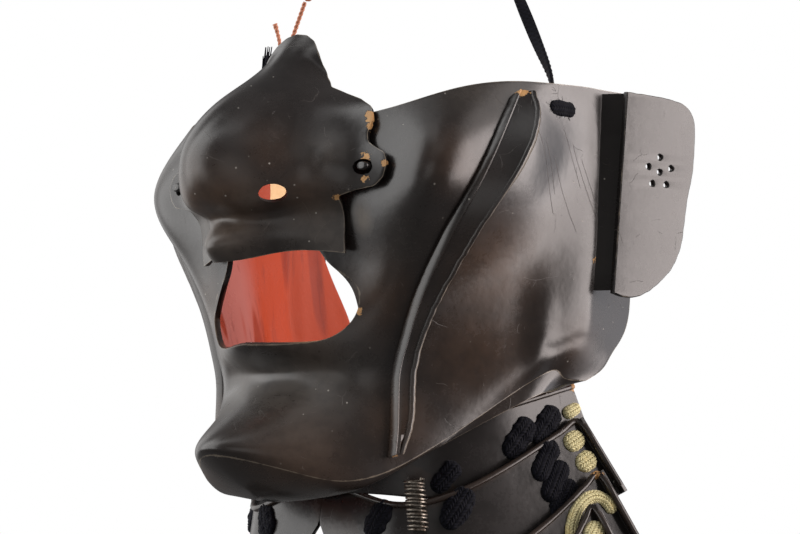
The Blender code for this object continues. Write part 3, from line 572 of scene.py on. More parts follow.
# ------------------------------------------------------------------ node helpers
class Nodes:
    """Short names for making a node tree."""

    def __init__(self, tree):
        self.tree = tree
        tree.nodes.clear()

    def new(self, kind, inputs=None, **settings):
        node = self.tree.nodes.new(kind)
        for key, value in settings.items():
            setattr(node, key, value)
        for key, value in (inputs or {}).items():
            self.feed(node.inputs[key], value)
        return node

    def feed(self, socket, value):
        if isinstance(value, bpy.types.NodeSocket):
            self.tree.links.new(value, socket)
        else:
            socket.default_value = value

    def math(self, operation, a, b=0.0, clamp=False):
        return self.new("ShaderNodeMath", {0: a, 1: b}, operation=operation, use_clamp=clamp).outputs[0]

    def times(self, a, b):
        return self.math("MULTIPLY", a, b)

    def plus(self, a, b):
        return self.math("ADD", a, b)

    def minus(self, a, b):
        return self.math("SUBTRACT", a, b)

    def vector(self, operation, a, b=(0, 0, 0), out=0):
        return self.new("ShaderNodeVectorMath", {0: a, 1: b}, operation=operation).outputs[out]

    def scale(self, a, factor):
        return self.new("ShaderNodeVectorMath", {0: a, "Scale": factor}, operation="SCALE").outputs[0]

    def spread(self, value, low, high, to_low=0.0, to_high=1.0, smooth=True):
        kind = "SMOOTHSTEP" if smooth else "LINEAR"
        return self.new("ShaderNodeMapRange", {0: value, 1: low, 2: high, 3: to_low, 4: to_high},
                        interpolation_type=kind).outputs[0]

    def noise(self, at, scale, detail=3.0, rough=0.55, distortion=0.0):
        inputs = {"Vector": at, "Scale": scale, "Detail": detail, "Roughness": rough,
                  "Distortion": distortion}
        return self.new("ShaderNodeTexNoise", inputs).outputs[0]

    def cells(self, at, scale, feature="F1", out="Distance", random=1.0):
        return self.new("ShaderNodeTexVoronoi", {"Vector": at, "Scale": scale, "Randomness": random},
                        feature=feature).outputs[out]

    def mix(self, share, a, b):
        node = self.new("ShaderNodeMix", data_type="RGBA")
        for socket, value in ((node.inputs[0], share), (node.inputs[6], a), (node.inputs[7], b)):
            self.feed(socket, (*value, 1) if isinstance(value, tuple) else value)
        return node.outputs[2]

    def attribute(self, name):
        return self.new("ShaderNodeAttribute", attribute_name=name).outputs["Fac"]

    def at(self):
        return self.new("ShaderNodeTexCoord").outputs["Object"]


def material(name):
    made = bpy.data.materials.new(name)
    made.use_nodes = True
    return made, Nodes(made.node_tree)


def surface(nodes, colour, roughness, height=None, depth=0.0002, **sockets):
    """The Principled shader with its output, and a bump where there is a height from 0 to 1."""
    shader = nodes.new("ShaderNodeBsdfPrincipled")
    nodes.feed(shader.inputs["Base Color"], (*colour, 1) if isinstance(colour, tuple) else colour)
    nodes.feed(shader.inputs["Roughness"], roughness)
    for key, value in sockets.items():
        shader.inputs[key.replace("_", " ")].default_value = value
    if height is not None:
        bump = nodes.new("ShaderNodeBump", {"Height": height, "Distance": depth, "Strength": 1.0})
        nodes.tree.links.new(bump.outputs[0], shader.inputs["Normal"])
    nodes.new("ShaderNodeOutputMaterial", {"Surface": shader.outputs[0]})


# ------------------------------------------------------------------ materials
BLACK = (0.017, 0.0150, 0.0145)
BROWN = (0.085, 0.047, 0.027)
RUBBED = (0.30, 0.25, 0.19)
SCUFFED = (0.155, 0.135, 0.115)
SCRATCHED = (0.20, 0.17, 0.15)
DUST = (0.42, 0.40, 0.36)
CHIP_DARK, CHIP_PALE = (0.30, 0.14, 0.045), (0.72, 0.42, 0.17)
# The inside's reds. The pale pink one is a painted reflection on the red, not a colour of the lacquer.
RED = {"dark band": (0.27, 0.034, 0.014), "light band": (0.37, 0.047, 0.015), "pink_reflection": (0.40, 0.135, 0.115),
       "streak": (0.15, 0.020, 0.012), "cloud": (0.44, 0.11, 0.07)}
GROUND_DARK, GROUND_PALE = (0.66, 0.40, 0.18), (0.84, 0.60, 0.34)

# The fan of fine scratches under each slot, as the cord's ends have rubbed it.
FAN = {"count": 6, "spacing": 5.0, "start": 5.0, "slope": 60.0, "spread": 6.0, "shortest": 18.0,
       "longest": 48.0}


def fan_scratches():
    """Both ends, as (y, z) in mm, of each scratch in the fan under the slot."""
    generator = np.random.default_rng(4)
    _, y, z = SLOT["at"]
    for number in range(FAN["count"]):
        start = np.array([y + FAN["spacing"] * (number - FAN["count"] / 2),
                          z - FAN["start"] * (1 + number % 3)])
        slope = math.radians(FAN["slope"] + generator.uniform(-FAN["spread"], FAN["spread"]))
        length = generator.uniform(FAN["shortest"], FAN["longest"])
        yield start, start + length * np.array([math.cos(slope), -math.sin(slope)])


def hairlines(nodes, at, scale, width, keep):
    """Thin curved scratches: the borders of large cells, broken up by noise."""
    bend = nodes.new("ShaderNodeTexNoise", {"Vector": at, "Scale": 60.0}).outputs[1]
    bent = nodes.vector("ADD", at, nodes.scale(bend, 0.012))
    border = nodes.cells(bent, scale, "DISTANCE_TO_EDGE")
    line = nodes.spread(border, width, 0.0)
    broken = nodes.spread(nodes.noise(at, 95.0, 2.0), 1 - keep, 1 - keep + 0.05)
    return nodes.times(line, broken)


def straight_scratch(nodes, y, z, ends, width=0.00012):
    """A mask along the line between two places (y, z) in mm, on either side plane."""
    (y0, z0), (y1, z1) = [(a * MM, b * MM) for a, b in ends]
    length = math.hypot(y1 - y0, z1 - z0)
    ay, az = (y1 - y0) / length, (z1 - z0) / length
    dy, dz = nodes.minus(y, y0), nodes.minus(z, z0)
    along = nodes.plus(nodes.times(dy, ay), nodes.times(dz, az))
    across = nodes.minus(nodes.times(dz, ay), nodes.times(dy, az))
    line = nodes.spread(nodes.math("ABSOLUTE", across), width, 0.0)
    middle = nodes.math("ABSOLUTE", nodes.minus(along, length / 2))
    return nodes.times(line, nodes.spread(middle, length / 2, length / 2 - 0.002))


def lacquer(name, wear=True, scratches=False, brown=1.0, gloss=0.5):
    """Old black lacquer: brown where thin, chipped to tan at the edges, scratched and dusty.

    The attributes worn, edge, scuff and chip say where, from 0 to 1."""
    made, n = material(name)
    at = n.at()
    cloud = n.noise(at, 38.0, 4.0, 0.6)
    fine = n.noise(at, 240.0, 3.0, 0.6)
    grain = n.noise(at, 900.0, 2.0, 0.5)
    tone = n.mix(n.spread(cloud, 0.3, 0.7), tuple(0.8 * c for c in BLACK), tuple(1.35 * c for c in BLACK))
    colour, rough = tone, n.spread(cloud, 0.3, 0.75, 0.20, 0.31)
    height = n.times(cloud, 0.9)
    height = n.plus(height, n.times(fine, 0.10))
    if wear:
        worn = n.times(n.attribute("worn"), n.spread(cloud, 0.25, 0.6, 0.45, 1.0))
        worn = n.times(worn, n.spread(fine, 0.3, 0.6, 0.75, 1.0))
        colour = n.mix(worn, colour, tuple(brown * c for c in BROWN))
        rough = n.plus(rough, n.times(worn, 0.06))
        edge = n.spread(n.plus(n.attribute("edge"), n.times(fine, 0.7)), 1.12, 1.3)
        colour = n.mix(n.times(edge, 0.55), colour, RUBBED)
        scuff = n.times(n.attribute("scuff"), n.spread(fine, 0.3, 0.6, 0.55, 1.0))
        colour = n.mix(scuff, colour, SCUFFED)
        rough = n.plus(rough, n.times(scuff, 0.3))
        chip_noise = n.plus(n.times(n.noise(at, 620.0, 3.0, 0.7), 1.6), n.times(grain, 0.3))
        chip = n.spread(n.plus(n.attribute("chip"), chip_noise), 1.42, 1.48)
        colour = n.mix(chip, colour, n.mix(fine, CHIP_DARK, CHIP_PALE))
        rough = n.plus(rough, n.times(chip, 0.35))
        height = n.minus(height, n.times(chip, 0.8))
    lines = hairlines(n, at, 58.0, 0.0035, 0.42)
    lines = n.plus(lines, hairlines(n, n.vector("ADD", at, (0.31, 0.17, 0.05)), 120.0, 0.006, 0.36))
    if scratches:
        wavy = n.vector("ADD", at, n.scale(n.noise(at, 130.0, 2.0), 0.0006))
        split = n.new("ShaderNodeSeparateXYZ", {0: wavy})
        for ends in fan_scratches():
            marked = straight_scratch(n, split.outputs[1], split.outputs[2], ends)
            lines = n.math("MAXIMUM", lines, n.times(marked, 1.6))
    colour = n.mix(n.math("MULTIPLY", lines, 0.28, clamp=True), colour, SCRATCHED)
    rough = n.plus(rough, n.times(lines, 0.22))
    height = n.minus(height, n.times(lines, 0.12))
    specks = n.spread(n.cells(at, 210.0), 0.085, 0.045)
    dust = n.times(specks, n.spread(n.noise(at, 33.0, 1.0), 0.52, 0.6))
    colour = n.mix(n.times(dust, 0.7), colour, DUST)
    rough = n.plus(rough, n.times(dust, 0.3))
    rough = n.plus(rough, n.times(n.minus(grain, 0.5), 0.10))
    surface(n, colour, rough, height, 0.00028, IOR=1.5, Specular_IOR_Level=gloss)
    return made


def red_lacquer(name):
    """The inside: vermilion lacquer in broad upright bands, with a painted pink reflection on the light bands
    towards the front.

    The attributes chip and bare say where it is down to the pale ground."""
    made, n = material(name)
    at = n.at()
    depth = n.new("ShaderNodeSeparateXYZ", {0: at}).outputs[1]
    upright = n.vector("ADD", at, n.scale(n.noise(at, 14.0, 1.0), 0.006))
    bands = n.noise(n.vector("MULTIPLY", upright, (1, 1, 0.14)), 75.0, 1.0, 0.4)
    streaks = n.noise(n.vector("MULTIPLY", upright, (1, 1, 0.10)), 300.0, 3.0, 0.6)
    cloud = n.noise(at, 60.0, 4.0, 0.6)
    fine = n.noise(at, 500.0, 3.0, 0.6)
    # Painted reflection: towards the front the light bands turn pale pink, as a sheen of light on the red.
    pink_reflection = n.times(n.spread(depth, -0.006, -0.022), n.spread(bands, 0.40, 0.47))
    colour = n.mix(n.spread(bands, 0.40, 0.47), RED["dark band"], RED["light band"])
    colour = n.mix(n.times(pink_reflection, 0.85), colour, RED["pink_reflection"])
    colour = n.mix(n.spread(streaks, 0.56, 0.70, 0.0, 0.35), colour, RED["streak"])
    colour = n.mix(n.spread(cloud, 0.60, 0.78, 0.0, 0.35), colour, RED["cloud"])
    bare = n.spread(n.plus(n.attribute("bare"), n.times(cloud, 0.3)), 0.60, 0.66)
    tan = n.spread(n.plus(n.attribute("chip"), n.times(fine, 0.3)), 0.62, 0.72)
    colour = n.mix(n.math("MAXIMUM", tan, bare), colour, n.mix(fine, GROUND_DARK, GROUND_PALE))
    rough = n.spread(cloud, 0.3, 0.7, 0.22, 0.38)
    height = n.plus(bands, n.times(fine, 0.05))
    surface(n, colour, rough, height, 0.0012, IOR=1.5, Specular_IOR_Level=0.05)
    return made


def braided(name, dark, light, roughness=0.8, sheen=0.3, fleck=None, gloss=0.5):
    """Silk or cotton cord, darker in the gaps between strands as painted shade. The attribute weave is 0 in
    the gaps and 1 on top of the strands.
    """
    made, n = material(name)
    at = n.at()
    weave = n.attribute("weave")
    fibres = n.noise(at, 2600.0, 2.0, 0.6)
    patch = n.noise(at, 160.0, 2.0)
    # Painted shade: the colour goes from light on top of the strands to dark down in the gaps that weave
    # marks.
    share = n.times(n.spread(weave, 0.05, 0.75), n.spread(fibres, 0.2, 0.75, 0.55, 1.0))
    colour = n.mix(share, dark, light)
    if fleck:
        colour = n.mix(n.times(n.spread(patch, 0.5, 0.68), 0.6), colour, fleck)
    height = n.plus(n.times(fibres, 0.35), n.times(patch, 0.3))
    surface(n, colour, roughness, height, 0.00012, Sheen_Weight=sheen, Sheen_Roughness=0.5,
            Specular_IOR_Level=gloss)
    return made


def wire_material(name):
    made, n = material(name)
    at = n.at()
    rust = n.noise(at, 520.0, 3.0, 0.65)
    colour = n.mix(n.spread(rust, 0.42, 0.68), (0.19, 0.17, 0.145), (0.05, 0.035, 0.025))
    rough = n.spread(rust, 0.35, 0.7, 0.26, 0.6)
    surface(n, colour, rough, rust, 0.00008, Metallic=0.9)
    return made


BLACK_LACQUER = lacquer("black_lacquer", scratches=True)
NOSE_LACQUER = lacquer("nose_lacquer")
LAME_LACQUER = lacquer("lame_lacquer", brown=0.7, gloss=0.4)
# A darker copy of the lacquer with little gloss, for the ear plates' turned-in step: painted shade, as that
# wall lies in shadow.
SHADED_STEP_LACQUER = lacquer("shaded_step_lacquer", brown=0.5, gloss=0.12)
RED_LACQUER = red_lacquer("red_lacquer")
# Each cord's first colour is its painted shade in the gaps between strands, the second its colour on top of
# them.
NAVY = braided("navy_cord", (0.0008, 0.0008, 0.0014), (0.0055, 0.006, 0.012), 0.8, 0.03, gloss=0.15)
PALE = braided("pale_cord", (0.24, 0.19, 0.065), (0.94, 0.87, 0.50), 0.8, 0.1, (0.70, 0.55, 0.22))
ORANGE = braided("orange_cord", (0.30, 0.10, 0.05), (0.60, 0.235, 0.13), 0.75, 0.2)
WIRE = wire_material("steel_wire")

# ------------------------------------------------------------------ camera
TURN, TILT, DISTANCE = math.radians(43), math.radians(-5.5), 1.150
back = Vector((math.sin(TURN) * math.cos(TILT), -math.cos(TURN) * math.cos(TILT), math.sin(TILT)))
right = Vector((math.cos(TURN), math.sin(TURN), 0))
view = Matrix((right, back.cross(right), back)).transposed().to_4x4()
view.translation = back * DISTANCE
lens = bpy.data.cameras.new("camera")
lens.sensor_width = 36
lens.lens = 150.075
lens.shift_x = -0.0075
lens.clip_start = 0.01
camera = bpy.data.objects.new("camera", lens)
camera.matrix_world = view
bpy.context.scene.collection.objects.link(camera)
bpy.context.scene.camera = camera


# ------------------------------------------------------------------ cords
def frames(path, across):
    """Tangents and two unit vectors across the path, turned no more than they need be."""
    path = np.asarray(path, float)
    tangents = unit(np.gradient(path, axis=0))
    first = []
    now = np.asarray(across, float)
    for tangent in tangents:
        now = unit(now - tangent * (now @ tangent))
        first.append(now)
    first = np.array(first)
    return tangents, first, np.cross(tangents, first)


def sweep(path, sections, across):
    """Rings of points: at each place on the path, a section of (first, second) offsets in mm."""
    _, first, second = frames(path, across)
    sections = np.asarray(sections, float)
    return path[:, None] + first[:, None] * sections[..., :1] + second[:, None] * sections[..., 1:]


CORD_STEP = 0.25  # between the rings of a cord
NAVY_WIDTH = 4.0
NAVY_THICK = 1.5
FRAYED_STRANDS = 34
LONG_STRANDS = 7  # of the frayed ones, which reach the tail's end
FRAY_SIDES = 6


def length_of(points):
    return float(np.linalg.norm(np.diff(points, axis=0), axis=1).sum())


def resampled(route, step):
    route = np.asarray(route, float)
    return through(route, np.linspace(0, 1, max(8, round(length_of(route) / step)) + 1))


def twisted_sections(count, thickness, step, lay, plies=2, taper=None):
    """Sections of a cord of plies that go round once in each lay."""
    angles = round_angles(20)
    sections, weave = [], []
    for i in range(count):
        phase = 2 * math.pi * i * step / lay
        lobe = np.abs(np.cos((angles - phase) * plies / 2))
        radius = thickness / 2 * (0.62 + 0.38 * lobe)
        if taper is not None:
            radius = radius * taper(i / (count - 1))
        sections.append(np.column_stack([radius * np.cos(angles), radius * np.sin(angles)]))
        weave.append(lobe**0.6)
    return np.array(sections), np.array(weave)


def cord_mesh(name, strands):
    """One mesh of several strands, each (rings, weave), with the attribute weave."""
    mesh = loft_mesh(name, *[rings for rings, _ in strands])
    values = []
    for rings, weave in strands:
        values += [np.asarray(weave).ravel(), [weave[0].mean(), weave[-1].mean()]]
    # The cord materials darken the colour where weave is low: painted shade in the gaps.
    paint(mesh, "weave", np.concatenate(values))
    mesh.shade_smooth()
    return mesh


def twisted_cord(name, route, thickness, lay, taper=None):
    path = resampled(route, CORD_STEP)
    sections, weave = twisted_sections(len(path), thickness, CORD_STEP, lay, taper=taper)
    return add(name, cord_mesh(name, [(sweep(path, sections, (0, 1, 0)), weave)]), ORANGE), path


def knot_strand(top, way, size, thickness, across):
    """An overhand knot pulled small, at the end of a cord that ends at top going way."""
    way = unit(np.asarray(way, float))
    across = np.asarray(across, float)
    first = unit(across - way * (across @ way))
    second = np.cross(way, first)
    t = round_angles(120) + math.pi / 3
    loop = (first * (np.sin(t) + 2 * np.sin(2 * t))[:, None]
            + second * (np.cos(t) - 2 * np.cos(2 * t))[:, None]
            - way * 1.25 * np.sin(3 * t)[:, None])
    path = top + way * size / 2 + loop * size / 6
    sections, weave = twisted_sections(len(path), thickness, 0.35, 3.0)
    return sweep(path, sections, way), weave


def end_knot(name, path, size, thickness, finish):
    strand = knot_strand(path[-1], path[-1] - path[-2], size, thickness, (0, 1, 0))
    return add(name, cord_mesh(name, [strand]), finish)


def flat_sections(count, turn_of):
    """Sections of a flat braid, 4 mm wide, which twists as turn_of says, in radians."""
    angles = round_angles(28)
    wide = np.sign(np.cos(angles)) * np.abs(np.cos(angles)) ** 0.42 * NAVY_WIDTH / 2
    thick = np.sign(np.sin(angles)) * np.abs(np.sin(angles)) ** 0.8 * NAVY_THICK / 2
    sections, weave = [], []
    for i in range(count):
        braid = np.abs(np.sin(1.9 * wide + 0.45 * i)) * np.abs(np.sin(1.9 * wide - 0.45 * i))
        w, h = wide, thick * (0.72 + 0.42 * braid)
        c, s = math.cos(turn_of(i / (count - 1))), math.sin(turn_of(i / (count - 1)))
        sections.append(np.column_stack([w * c - h * s, w * s + h * c]))
        weave.append(0.15 + 0.85 * braid)
    return np.array(sections), np.array(weave)


def make_cords():
    """The two cords that the guard hangs by, with their knots, and the two cut tails on the right."""
    path = resampled(TIE_ROUTE, CORD_STEP)
    sections, weave = flat_sections(len(path), lambda s: 0.15 + 3.1 * s)
    left = add("navy_tie_cord", cord_mesh("navy_tie_cord", [(sweep(path, sections, (0, 1, 0)), weave)]), NAVY)
    left_knot = end_knot("navy_tie_knot", path, KNOT, 1.9, NAVY)
    finish_piece(left, "navy_cord", "tie_cord_left")
    finish_piece(left_knot, "navy_cord", "tie_knot_left")
    length_of(path) * MM

    hang, path = twisted_cord("orange_tie_cord", HANG_ROUTE, thickness=1.6, lay=3.4)
    hang_knot = end_knot("orange_tie_knot", path, KNOT * 0.9, 1.3, ORANGE)
    finish_piece(hang, "orange_cord", "tie_cord_right")
    finish_piece(hang_knot, "orange_cord", "tie_knot_right")
    length_of(path) * MM

    tail, path = twisted_cord("orange_cut_tail", TAIL_ROUTE, thickness=1.5, lay=3.2,
                              taper=lambda s: 1 + 0.35 * max(0.0, (s - 0.93) / 0.07))
    finish_piece(tail, "orange_cord", "orange_tail_right")
    length_of(path) * MM

    path = resampled(STUB_ROUTE, CORD_STEP)
    count = len(path)
    main = round(0.92 * count)
    sections, weave = twisted_sections(main, 3.6, CORD_STEP, 5.0, plies=3, taper=lambda s: 1 - 0.6 * s**3)
    strands = [(sweep(path[:main], sections, (0, 1, 0)), weave)]
    generator = np.random.default_rng(5)
    for number in range(FRAYED_STRANDS):
        first = round(count * generator.uniform(0.35, 0.75))
        last = count
        if number >= LONG_STRANDS:
            last = min(count, first + round(count * generator.uniform(0.18, 0.34)))
        fray = path[first:last].copy()
        share = np.linspace(0, 1, len(fray))[:, None]
        aside = np.clip(generator.normal(size=3), -1.3, 1.3) * np.array([0.95, 0.95, 0.0])
        fray += share**1.3 * aside + 0.9 * (1 - share) * np.sign(aside) * np.array([0.7, 0.7, 0])
        thin = 0.66 * (1 - 0.75 * share[:, 0])
        rings = sweep(fray, thin[:, None, None] * circle(FRAY_SIDES)[None], (0, 1, 0))
        strands.append((rings, np.full((len(fray), FRAY_SIDES), 0.6)))
    stub = add("navy_frayed_tail", cord_mesh("navy_frayed_tail", strands), NAVY)
    finish_piece(stub, "navy_cord", "navy_tail_right")
    length_of(path) * MM


# ------------------------------------------------------------------ shell and nose piece
STATIONS = ("midline", "lobe", "cheek", "side", "haunch", "rear")
# Brown where the lacquer is thin: between which stations, at which level, how far it reaches in mm
# and how strong it is.
SHELL_WORN = {
    "under the rib":       ("cheek", "side", "mouth", 18, 0.75),
    "over the jaw":        ("cheek", "side", "recess", 17, 0.70),
    "cheek by the mouth":  ("lobe", "cheek", "mouth", 12, 0.50),
    "chin's corner":       ("cheek", "cheek", "belly", 12, 0.55),
    "underside":           ("lobe", "lobe", "crease", 18, 0.60),
    "lower lip":           ("lobe", "lobe", "lip", 9, 0.35),
    "cheek by the rib":    ("cheek", "cheek", "cheek", 10, 0.40),
    "haunch":              ("side", "haunch", "belly", 10, 0.35),
}
NOSE_STATIONS = ("midline", "flank", "wing", "base")
NOSE_WORN = {
    "under the tip":       ("midline", "flank", "under", 12, 0.85),
    "wing's lower side":   ("wing", "wing", "under", 9, 0.60),
    "bulb":                ("flank", "flank", "bulb", 10, 0.35),
    "tip":                 ("midline", "midline", "tip", 10, 0.50),
}
# Dusty scuffs, as the brown is listed.
SHELL_SCUFFED = {
    "chin":                ("midline", "lobe", "recess", 20, 0.32),
    "lower lip's end":     ("lobe", "lobe", "belly", 14, 0.16),
    "top by the nose":     ("cheek", "cheek", "top", 16, 0.20),
    "cheek":               ("lobe", "cheek", "jowl", 12, 0.10),
}
NOSE_SCUFFED = {
    "lip plate's middle":  ("midline", "flank", "lip", 14, 0.32),
    "lip plate's end":     ("wing", "base", "lip", 15, 0.34),
    "under the bulb":      ("flank", "flank", "under", 7, 0.35),
    "beside the wing":     ("wing", "wing", "bulb", 7, 0.20),
}
# Chips down to the tan ground: the feature that each is at, how far from it along (x, y, z), its size.
SHELL_CHIPS = {
    "corner of the mouth": ("mouth corner", (0, 0, -4), 0.8),
    "foot of the rib":     ("rib foot", (0, 0, 0), 1.0),
    "ear notch":           ("ear root", (0, 0, 10), 0.9),
}
NOSE_CHIPS = {
    "top of the notch":    ("notch top", (0, 0, 0), 1.5),
    "under that":          ("notch top", (0, 0, -3.5), 1.1),
    "over the peg":        ("peg", (0.5, 0, 3.6), 1.2),
    "under the peg":       ("peg", (1, 0, -4), 0.8),
    "rim of the lug":      ("lug rim", (0, 0, 0), 1.0),
    "plate's corner":      ("plate corner", (0, 0, 0), 0.9),
    "under that corner":   ("plate corner", (-1, 0, -3), 0.8),
    "beside the nostril":  ("nostril", (7, 2, 2), 1.0),
}
RIB_CHIPS = {
    "top":                 ("rib top", (2, -1, 1), 1.8),
    "foot":                ("rib foot", (2, 0, 3), 0.7),
}
LAME_CHIPS = {
    "upper lame's corner": ("upper lame's corner", (0, 0, 0), 1.6),
    "third lame's corner": ("third lame's corner", (0, 0, 0), 1.4),
}
SCUFF_BESIDE_PLATE = (4, 6, 6)  # its reach along x, y and z, in mm
# Inside, the red is down to its pale ground at the top rear: behind the slot and above the nostrils.
BARE = {"behind": SLOT["at"][1] + SLOT["length"] / 2, "above": NOSTRIL["at"][1], "fade": 1.5}

# Places on the nose piece's rim as (x, z), from NOSE_RIM.
PLATE_CORNER = (34, 15.4)
LUG_RIM = (50.4, 26)
NOTCH_TOP = (42.4, 42)


def on_shell(place, axes):
    turn, level = shell_sheet.place([place], axes)[0]
    return shell_sheet.point(turn, level)


def features():
    """Places on the left that the parts' own tables give, in mm."""
    corner = (MOUTH_MIDDLE[0] + MOUTH_REACH["out"], MOUTH_MIDDLE[1])
    return {
        "mouth corner": on_shell(corner, (0, 2)),
        "rib top": on_shell(RIB_TOP, (1, 2)),
        "rib foot": on_shell(RIB_FOOT, (1, 2)),
        "ear root": on_shell(EAR_TURN["root low"], (1, 2)),
        "peg": nose_place(*PEG["at"])[0],
        "notch top": nose_place(*NOTCH_TOP)[0],
        "lug rim": nose_place(*LUG_RIM)[0],
        "plate corner": nose_place(*PLATE_CORNER)[0],
        "beside the plate": on_shell((PLATE_CORNER[0] + 4, PLATE_CORNER[1] - 6), (0, 2)),
        "nostril": nose_place(*NOSTRIL["at"])[0],
        "upper lame's corner": lame_sheets["throat_lame_1"].point(1, 1),
        "third lame's corner": lame_sheets["throat_lame_3"].point(1, 1),
    }


def worn_share(points, sheet, stations, levels, table):
    """How strongly the table's soft spots cover each point."""
    total = np.zeros(len(points))
    left = np.abs(points) * (1, 0, 0) + points * (0, 1, 1)
    for first, second, level, reach, strength in table.values():
        turn = (stations.index(first) + stations.index(second)) / 2 / (len(stations) - 1)
        middle = sheet.point(turn, list(levels).index(level))
        away = np.linalg.norm(left - middle, axis=1) / reach
        total = np.maximum(total, strength * np.exp(-(away**2)))
    return total


def chip_share(points, table):
    total = np.zeros(len(points))
    places = features()
    for feature, offset, size in table.values():
        away = np.linalg.norm(points - (places[feature] + offset), axis=1) / (2 * size)
        total = np.maximum(total, 0.9 * np.clip(1.25 - away, 0, 1))
    return total


def near_line(points, line, reach):
    """1 on the line of points, down to 0 at reach from it."""
    tree = tree_of(line)
    return np.clip(1 - np.array([tree.find(point)[2] for point in points]) / reach, 0, 1)


def paint_wear(obj, worn, chips, line, reach=1.4, scuffed=0):
    """worn and scuffed are shares at each vertex, or 0; chips is a table of chips."""
    points = points_of(obj)
    paint(obj.data, "scuff", np.zeros(len(points)) + scuffed)
    paint(obj.data, "worn", np.zeros(len(points)) + worn)
    paint(obj.data, "chip", chip_share(points, chips))
    paint(obj.data, "edge", near_line(points, line, reach) if len(line) else np.zeros(len(points)))


def ragged_prism(middle, axis, across, sizes, depth, ragged=0.0, sides=48, seed=3):
    """A prism with an oval, uneven section in mm, to cut with."""
    place = turned_to(middle, axis, across)
    ring = circle(sides)
    uneven = 1 + ragged * ripple(np.column_stack([ring, 0 * ring[:, 0]]) * 9, 3.0, seed)
    ring = ring * np.array(sizes) / 2 * uneven[:, None]
    rings = [[place @ Vector((x * MM, y * MM, z * MM)) / MM for x, y in ring]
             for z in (-depth / 2, depth / 2)]
    return loft_mesh("cutter", rings)


def both(points):
    return np.vstack([points, mirrored(points)])


def whole_wall(name, mesh, wall, materials):
    """The outer face mirrored and thickened inwards, with its second material inside."""
    obj = add(name, mesh, *materials)
    mirror = obj.modifiers.new("mirror", "MIRROR")
    mirror.merge_threshold = 0.00003
    solid = obj.modifiers.new("wall", "SOLIDIFY")
    solid.thickness = wall * MM
    solid.offset = -1
    solid.material_offset = 1
    solid.material_offset_rim = 0
    return obj


def smooth_inside(obj, wall, points, normals, weights):
    """Moves the inner half of a thickened wall's points to lie straight behind its smooth outer face.

    points, normals and weights are the left half's, in mm, where weights says how far to move."""
    tree = tree_of(points)
    places = points_of(obj)
    outer = places[: len(places) // 2]
    for i, point in enumerate(outer):
        sign = -1 if point[0] < 0 else 1
        _, nearest, _ = tree.find((abs(point[0]), point[1], point[2]))
        behind = point - wall * normals[nearest] * (sign, 1, 1)
        if abs(point[0]) < 0.01:
            behind[0] = 0
        inner = places[len(outer) + i]
        places[len(outer) + i] = inner + weights[nearest] * (behind - inner)
    obj.data.vertices.foreach_set("co", (places * MM).ravel())


def cut_holes(obj, cutters):
    helpers = [cut(obj, mesh) for mesh in cutters]
    settle(obj, 45)
    for helper in helpers:
        bpy.data.objects.remove(helper)


def make_shell():
    grid = shell_grid(SHELL_AROUND, SHELL_ACROSS)
    wall = shell_sheet.points_at(grid)
    jaw = grid[-1][: round(SHELL_AROUND * JAW_SHARE) + 1, 0]
    under = np.array([shell_sheet.point(jaw, level) for level in np.linspace(0, 1, UNDERSIDE_ROWS)])
    wall[:, 0, 0] = under[:, 0, 0] = 0
    line = both(np.vstack([wall[0], wall[:, -1], under[0], under[-1], wall[-1]]))
    outer = grid_mesh("shell", [wall[::-1], under])
    shell = whole_wall("shell", outer, SHELL_WALL, (BLACK_LACQUER, RED_LACQUER))
    settle(shell)
    levels = grid[..., 1].ravel()
    normals = shell_sheet.normals_at(grid).reshape(-1, 3)
    clear_of_crease = np.clip((levels - CREASE_LEVEL) / 0.6, 0, 1)
    smooth_inside(shell, SHELL_WALL, wall.reshape(-1, 3), normals, clear_of_crease)
    bevel(shell, 0.6, 58)
    settle(shell)
    cutters = []
    for sign in (1, -1):
        middle = np.array(SLOT["at"]) * (sign, 1, 1)
        sizes = (SLOT["length"] + 0.4, SLOT["height"] + 0.2)
        cutters.append(ragged_prism(middle, (1, 0, 0), (0, 1, 0), sizes, 12, 0.06))
    cut_holes(shell, cutters)
    points = points_of(shell)
    worn = worn_share(points, shell_sheet, STATIONS, SHELL_LEVELS, SHELL_WORN)
    beside_plate = np.linalg.norm((points - features()["beside the plate"]) / SCUFF_BESIDE_PLATE, axis=1)
    scuffed = worn_share(points, shell_sheet, STATIONS, SHELL_LEVELS, SHELL_SCUFFED)
    scuffed = np.maximum(scuffed, np.clip(1.2 - beside_plate, 0, 0.8))
    paint_wear(shell, worn, SHELL_CHIPS, line, scuffed=scuffed)
    behind, above = [np.clip((points[:, axis] - BARE[way]) / BARE["fade"] + 0.5, 0, 1)
                     for axis, way in ((1, "behind"), (2, "above"))]
    paint(shell.data, "bare", behind * above)
    finish_piece(shell, "black_lacquer", "mask_shell")


def smooth_rim():
    """The nose piece's rim as (turn, level), close together and with small rounded corners."""
    line = np.array(NOSE_RIM, float)
    legs = np.concatenate([[0], np.cumsum(np.linalg.norm(np.diff(line, axis=0), axis=1))])
    at = np.linspace(0, legs[-1], 6 * NOSE_ROWS)
    fine = np.column_stack([np.interp(at, legs, line[:, i]) for i in (0, 1)])
    window = np.hanning(33)
    window /= window.sum()
    padded = np.vstack([2 * fine[0] - fine[16:0:-1], fine, 2 * fine[-1] - fine[-2:-18:-1]])
    fine = np.column_stack([np.convolve(padded[:, i], window, "valid") for i in (0, 1)])
    rim = nose_sheet.place(fine[::6], (0, 2))
    rim[0, 1] = 0
    return rim


def nose_place(x, z):
    turn, level = nose_sheet.place([(x, z)], (0, 2))[0]
    return nose_sheet.point(turn, level), nose_sheet.normal(turn, level)


